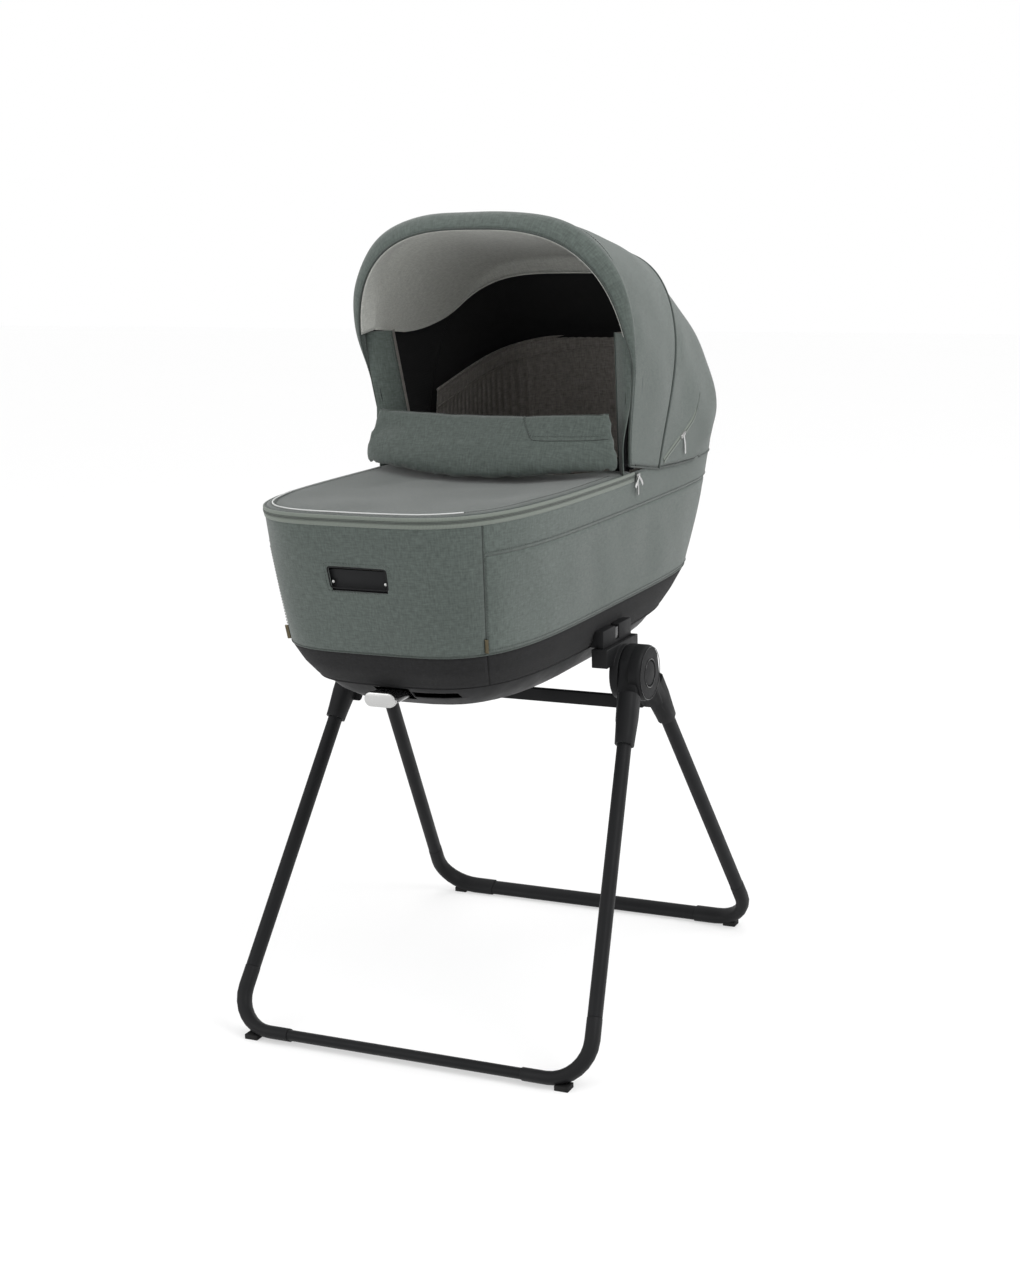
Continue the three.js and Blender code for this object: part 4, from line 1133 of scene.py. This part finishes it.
def hem_line(count):
    """The visor's outer edge on its seam and its inner edge: an arch in a leaning plane that
    meets the seam low on each side."""
    seam = resample(ARCH_A[ARCH_A[:, 2] > VISOR_TIP_Z], count)
    c, s, r = half_round(2.85)
    z = VISOR_TIP_Z + (VISOR_HEM_Z - VISOR_TIP_Z) * r * s
    line = resample(stack(214 * r * c, 61 - 0.3073 * (z - 770), z), count)
    share = np.linspace(0, 1, count)
    join = smooth(np.minimum(share, 1 - share) / 0.12)[:, None]
    return seam, seam + (line - seam) * join


def add_visor(kit):
    """A stuffed roll between the visor's seam and its hem: a bulge of half a sine on the
    outside, a shallow one inside, tapering to both tips."""
    seam, hem = hem_line(120)
    share = np.linspace(0, 1, 120)
    full = smooth(np.minimum(share, 1 - share) / 0.2)
    chord = hem - seam
    along = unit(np.gradient(seam, axis=0))
    out = unit(np.cross(along, chord + 1e-6))
    out *= np.sign((out * (seam - [0, 100, 900])).sum(1))[:, None]
    q = np.linspace(0, 1, 16)
    outer = (seam[:, None] + q[None, :, None] * chord[:, None]
             + (2 + 13.5 * full)[:, None, None] * np.sin(math.pi * q)[None, :, None] ** 0.75 * out[:, None])
    back = q[::-1][1:-1]
    inner = (seam[:, None] + back[None, :, None] * chord[:, None]
             - (1 + 4 * full)[:, None, None] * np.sin(math.pi * back)[None, :, None] * out[:, None])
    points = np.concatenate([outer, inner], 1)
    wobble = ripple(share * 900, 20 * np.sin(share * 9), 0.6)
    points += (wobble * full)[:, None, None] * out[:, None]
    roll = grid("visor_roll", points, kit["green"], wrap=True, caps=True)
    outward(roll)
    subdivide(roll)
    bake(roll)
    ride(roll, "hood_front", "green_cloth", "visor")
    piping = cordlet("visor_hem_piping", resample(hem, 160), 1.5, kit["green_piping"], (0, 1, 0.3))
    ride(piping, "hood_front", "green_cloth")


VENT_LINE = ((169, 781), (195, 791), (238, 807), (269, 818), (300, 834), (323, 866))   # y and z


def add_vent(kit):
    """A curved vent zip low on each rear side, with a silver puller. Its line lies where the
    hood's face is nearest to each y and z, evened by a running mean."""
    fine = hood_surface(np.linspace(0.9, 3.6, 140))
    y, z = soft_line([(*corner, 0) for corner in VENT_LINE], 60)[:, :2].T
    for sign, name, half in ((1, "right", fine[:, :COLUMNS // 2]), (-1, "left", fine[:, COLUMNS // 2 + 1:])):
        cloud = half.reshape(-1, 3)
        far = ((cloud[:, 1] - y[:, None]) ** 2 + (cloud[:, 2] - z[:, None]) ** 2
               + 0.001 * np.abs(cloud[:, 0] - sign * 200))
        near = cloud[np.argmin(far, 1), 0]
        x = np.convolve(np.pad(near, 5, mode="edge"), np.ones(11) / 11, "valid")
        path = stack(x + sign * 0.9, y, z)
        out = np.array([sign, 0, 0])
        ring = path[27] + 2.2 * out
        tongue = soft_line([ring, ring + [sign * 0.8, 3, -14], ring + [sign * 0.5, 5, -29]], 14)
        coil = cordlet(f"vent_coil_{name}", path + 0.8 * out, 1.1, kit["zip_coil"], out)
        hood_cloth(coil, "steel")
        for piece, line, section, finish, slot in (
            ("vent_tape", path, oval(4.6, 0.8, 10, 3), "zip_tape", "lining_cloth"),
            ("vent_puller", tongue, oval(2.1, 0.8, 12, 3), "silver", "steel"),
            ("vent_slider", path[24:31] + 1.4 * out, oval(3.4, 1.5, 12, 3), "steel", "steel"),
        ):
            bar = grid(f"{piece}_{name}", sweep_points(line, section, out), kit[finish], wrap=True, caps=True)
            hood_cloth(bar, slot)


def add_hood_lining(kit):
    """Inside the hood: dark mesh, the light front lining, the pleated brown panel at the head
    and the side wings."""
    skin = inset(hood_surface(np.linspace(0.0, 3.9, 70)), 9.0)
    mesh = grid("hood_mesh", skin, kit["mesh"], inside=HOOD_CENTRE)
    face_towards(mesh, HOOD_CENTRE)
    hood_cloth(thicken(mesh, -1.0), "lining_cloth", "hood_lining")
    add_light_lining(kit)
    add_head_panel(kit)
    add_wings(kit)


LIGHT_START = 0.195                    # the share of each arch that the light lining leaves bare


def add_light_lining(kit):
    """The light lining: from just inside the visor's hem to the hood's front seam, and then
    along the hood's face, drawn in and evened by a running mean, as far back as a
    superellipse of the share across."""
    share = np.linspace(LIGHT_START, 1 - LIGHT_START, 90)
    side = np.abs(2 * share - 1) / (1 - 2 * LIGHT_START)
    reach = 1.25 * np.maximum(1 - side**3.4, 0) ** (1 / 2.6)
    at_u = np.linspace(0, 1, 34)[:, None] * reach[None]
    fine_u = np.linspace(0, 1.6, 161)
    around = np.clip(np.arange(161)[:, None] + np.arange(-9, 10)[None], 0, 160)
    shell = inset(hood_surface(fine_u), 15.5)[around].mean(1)
    face = bilinear(shell, fine_u, np.linspace(0, 1, COLUMNS), at_u, np.broadcast_to(share, at_u.shape))
    hem = hem_line(200)[1]
    hem_share = np.linspace(0, 1, 200)
    front = np.stack([np.interp(np.linspace(0.11, 0.89, 90), hem_share, hem[:, k]) for k in range(3)], -1)
    front = front + unit(np.array([0, 60, 900]) - front) * 3
    lead = np.linspace(0, 1, 8, endpoint=False)[:, None, None]
    points = np.concatenate([front[None] + lead * (face[:1] - front[None]), face])
    sheet = grid("hood_light_lining", points, kit["light"], inside=HOOD_CENTRE)
    face_towards(sheet, (0, 100, 900))
    hood_cloth(thicken(sheet, 0.8), "lining_cloth")
    edge = cordlet("light_lining_hem", resample(points[-1], 140), 1.1, kit["light"], (0, 1, 0.2))
    hood_cloth(edge, "lining_cloth")


def bilinear(table, rows, columns, at_row, at_column):
    """Points of a table of points at fractional rows and columns, by straight lines."""
    i = np.clip(np.searchsorted(rows, at_row) - 1, 0, len(rows) - 2)
    j = np.clip(np.searchsorted(columns, at_column) - 1, 0, len(columns) - 2)
    a = ((at_row - rows[i]) / (rows[i + 1] - rows[i]))[..., None]
    b = ((at_column - columns[j]) / (columns[j + 1] - columns[j]))[..., None]
    return ((1 - a) * (1 - b) * table[i, j] + (1 - a) * b * table[i, j + 1]
            + a * (1 - b) * table[i + 1, j] + a * b * table[i + 1, j + 1])


def head_panel_top(across):
    """Height of the brown panel's upper edge: it climbs evenly along its length to the
    middle of the head, where a hyperbola rounds it."""
    away = np.abs(2 * across / across[-1] - 1)
    fall, rounding, start = 69, 0.03, 0.173
    return HEAD_PANEL_TOP_Z - fall * (np.sqrt(away**2 + rounding) - start) / (math.sqrt(1 + rounding) - start)


def add_head_panel(kit):
    """The pleated panel round the head end: the plan drawn in, leaning in as it rises, with
    pleats as a sine of the length, and a piped band along its top."""
    start = rim_angle(HEAD_PANEL_Y)
    phi, length = even_angles(start, math.pi - start, 420)
    across = np.linspace(0, length, 420)
    v = np.linspace(0, 1, 26)[:, None]
    top = head_panel_top(across)
    z = HEAD_PANEL_FOOT_Z + (top[None] - HEAD_PANEL_FOOT_Z) * v
    lean = 15 + 22 * smooth((z - 760) / 190)
    pleat = 1.8 * np.abs(np.sin(across * math.pi / PLEAT))[None] * (1 - 0.7 * smooth((v - 0.86) / 0.04))
    points = tub(phi[None], np.minimum(z, RIM_Z), -lean - pleat)
    points[..., 2] = z
    panel = grid("head_panel", points, kit["brown"], inside=(0, 180, 700))
    face_towards(panel, (0, 180, 750))
    ride(thicken(panel, 1.0), "carrycot", "lining_cloth")
    for name, drop, radius in (("head_panel_piping", 0, 2.4), ("head_panel_seam", 26, 1.1)):
        ring = tub(phi, RIM_Z, -lean[-1] - 0.5)
        ring[:, 2] = top - drop
        ride(cordlet(name, resample(ring, 200), radius, kit["brown"]), "carrycot", "lining_cloth")


def add_wings(kit):
    """The gussets at each side of the opening: lines from the front seam to an inner edge,
    bowed forward by half a sine, and a thin brown binding strip behind it."""
    z = WING_FOOT_Z + (WING_TOP_Z - WING_FOOT_Z) * np.linspace(0, 1, 30)
    right = ARCH_A[:COLUMNS // 2]
    seam_x, seam_y = (np.interp(z, right[:, 2], right[:, k]) for k in (0, 1))
    outer = stack(seam_x - 1.5, seam_y - 3 - 20 * smooth((885 - z) / 70), z)
    climb = np.clip((975 - z) / 120, 0, 1.6)
    inner = stack(179 - 8 * climb, 38 + 25 * climb, z)
    u = np.linspace(0, 1, 14)[:, None, None]
    for sign, name in ((1, "right"), (-1, "left")):
        flip = np.array([sign, 1, 1])
        points = (outer[None] + u * (inner - outer)[None]
                  + np.array([0, -5, 0]) * np.sin(math.pi * u)) * flip
        wing = grid(f"wing_{name}", points, kit["green"], inside=(0, 300, 870))
        hood_cloth(thicken(wing, 1.6), "green_cloth", f"side_wing_{name}")
        binding = cordlet(f"wing_binding_{name}", inner * flip, 1.7, kit["green_piping"], (1, 0, 0))
        hood_cloth(binding, "green_cloth")
        strip = (inner[None] + u * np.array([8, 26, 0])) * flip
        back = grid(f"wing_strip_{name}", strip, kit["brown"], inside=(sign * 400, 100, 870))
        hood_cloth(thicken(back, 1.0), "lining_cloth")


# ---- Bedding -----------------------------------------------------------------------------

MATTRESS_SHARES = (0.985, 0.99, 0.86)  # drawn in before it swells to the solid's size


def add_bedding(kit):
    """The two mattress pieces, swollen as stuffed cloth."""
    for node, body in (("mattress_foot", "carrycot"), ("mattress_head", "backrest")):
        obj = copy_of(node, node + "_pad")
        outward(obj)
        dress(obj, kit["cream"])
        draw_in(obj, MATTRESS_SHARES)
        inflate(obj, 5.0, 0.006)
        plan_uv(obj, (1, 0, 0), (0, 1, 0))
        ride(obj, body, "cream_cloth", node)


# ---- Studio ------------------------------------------------------------------------------

FLOOR_HALF, FLOOR_Z = 12000, -0.2      # wide enough to meet the surroundings, clear of the pads


def soft_light(name, place, target, size, power):
    """A square soft light turned to face a point."""
    data = bpy.data.lights.new(name, "AREA")
    data.size = size
    data.energy = power
    lamp = bpy.data.objects.new(name, data)
    way = Vector(target) - Vector(place)
    lamp.matrix_world = Matrix.Translation(place) @ way.to_track_quat("-Z", "Y").to_matrix().to_4x4()
    bpy.context.scene.collection.objects.link(lamp)


def add_camera():
    """A long lens from the front right, a little above the hood and turned a little about its
    own axis."""
    place = Vector(CAMERA_PLACE)
    ahead = (Vector(CAMERA_TARGET) - place).normalized()
    right = ahead.cross(Vector((0, 0, 1))).normalized()
    up = right.cross(ahead)
    x = math.cos(CAMERA_ROLL) * right + math.sin(CAMERA_ROLL) * up
    y = -math.sin(CAMERA_ROLL) * right + math.cos(CAMERA_ROLL) * up
    data = bpy.data.cameras.new("Camera")
    data.lens = CAMERA_LENS
    data.sensor_fit = "VERTICAL"
    data.sensor_height = 36
    camera = bpy.data.objects.new("Camera", data)
    turn = Matrix((x, y, -ahead)).transposed().to_4x4()
    camera.matrix_world = Matrix.Translation(place) @ turn
    bpy.context.scene.collection.objects.link(camera)
    bpy.context.scene.camera = camera


def add_studio(sizes):
    """Pale floor that glows a little, white surroundings, and three soft lights: a key from
    the upper right, a fill from the front left and a weak one from above."""
    scene = bpy.context.scene
    scene.view_settings.view_transform = "Standard"
    world = bpy.data.worlds.new("Studio")
    world.use_nodes = True
    sky = world.node_tree.nodes["Background"]
    sky.inputs["Color"].default_value = (1, 1, 1, 1)
    sky.inputs["Strength"].default_value = sizes.surround
    scene.world = world
    floor = Finish("Floor", (0.5, 0.5, 0.5), 0.9, specular=0.1)
    floor.set("Emission Color", (1, 1, 1, 1))
    floor.set("Emission Strength", sizes.floor_glow)
    floor.shade(floor.range(floor.noise(2), 0.995, 1.005))
    t = np.linspace(-1, 1, 9) * FLOOR_HALF
    plane = grid("floor", stack(t[None], t[:, None], FLOOR_Z), floor.material, inside=(0, 0, -900))
    soft_light("Key", (2.6, -0.6, 3.0), (0, 0, 0.7), 1.8, sizes.key_power)
    soft_light("Top", (-0.2, 0.4, 3.6), (0, 0, 0.6), 2.2, sizes.key_power * 0.22)
    soft_light("Fill", (-2.2, -3.2, 1.6), (0, 0, 0.7), 2.0, sizes.key_power * 0.6)


# ---- The add-on --------------------------------------------------------------------------

class CarrycotSizes(bpy.types.PropertyGroup):
    """Colours and lights that a user would change."""

    cloth_colour: bpy.props.FloatVectorProperty(
        name="Cloth colour", description="The green melange cloth", size=3, subtype="COLOR",
        default=(0.079, 0.096, 0.087), min=0, max=1)
    key_power: bpy.props.FloatProperty(
        name="Key light", description="Power of the main light", default=56, min=0, unit="POWER")
    surround: bpy.props.FloatProperty(
        name="Surroundings", description="Brightness of the white surroundings", default=1.0, min=0)
    floor_glow: bpy.props.FloatProperty(
        name="Floor glow", description="Light that the floor itself gives", default=0.47, min=0)


KIT = {}


def kit_of(context):
    """The finishes, made once."""
    if not KIT:
        KIT.update(make_finishes(context.scene.carrycot_sizes))
    return KIT


def operator(idname, label, text, work):
    """An operator that runs one piece's function with the finishes."""
    def execute(self, context):
        work(kit_of(context))
        return {"FINISHED"}

    return type("CARRYCOT_OT_" + idname, (bpy.types.Operator,), {
        "bl_idname": "carrycot." + idname, "bl_label": label, "__doc__": text, "execute": execute})


PIECES = (
    operator("hard_parts", "Stand and mouldings",
             "Rounds and finishes every moulded and metal part", add_hard_parts),
    operator("hub_details", "Hub details", "Adds the rings round the fold buttons", add_hub_details),
    operator("tub", "Cot cover", "Adds the green panels, the skirt, hems and corner zips", add_tub),
    operator("lining", "Cot lining", "Adds the channelled lining and the floor", add_lining),
    operator("bedding", "Bedding", "Adds the swollen mattress pieces", add_bedding),
    operator("zip", "Rim zip", "Adds the rim's tapes, coils, sliders and pulls", add_zip),
    operator("apron", "Apron", "Adds the cover over the foot end", add_apron),
    operator("flap", "Wind flap", "Adds the padded flap", add_flap),
    operator("hood", "Hood", "Adds the hood's panels, visor, seams, bows and vents", add_hood),
    operator("hood_lining", "Hood lining", "Adds the linings, the head panel and the wings", add_hood_lining),
)


class CARRYCOT_OT_stage(bpy.types.Operator):
    """Adds the camera, the floor and the lights"""

    bl_idname = "carrycot.stage"
    bl_label = "Studio"

    def execute(self, context):
        add_camera()
        add_studio(context.scene.carrycot_sizes)
        return {"FINISHED"}


class CARRYCOT_PT_sidebar(bpy.types.Panel):
    """Lists the pieces and the sizes"""

    bl_idname = "CARRYCOT_PT_sidebar"
    bl_label = "Carrycot"
    bl_space_type = "VIEW_3D"
    bl_region_type = "UI"
    bl_category = "Carrycot"

    def draw(self, context):
        sizes = context.scene.carrycot_sizes
        for name in ("cloth_colour", "key_power", "surround", "floor_glow"):
            self.layout.prop(sizes, name)
        for piece in (*PIECES, CARRYCOT_OT_stage):
            self.layout.operator(piece.bl_idname)


CLASSES = (CarrycotSizes, *PIECES, CARRYCOT_OT_stage, CARRYCOT_PT_sidebar)


def register():
    for each in CLASSES:
        bpy.utils.register_class(each)
    bpy.types.Scene.carrycot_sizes = bpy.props.PointerProperty(type=CarrycotSizes)


def unregister():
    del bpy.types.Scene.carrycot_sizes
    for each in reversed(CLASSES):
        bpy.utils.unregister_class(each)


def main():
    """Builds everything in order and writes the boxes before and after."""
    register()
    for piece in (*PIECES, CARRYCOT_OT_stage):
        group, name = piece.bl_idname.split(".")
        getattr(getattr(bpy.ops, group), name)()


if __name__ == "__main__":
    main()
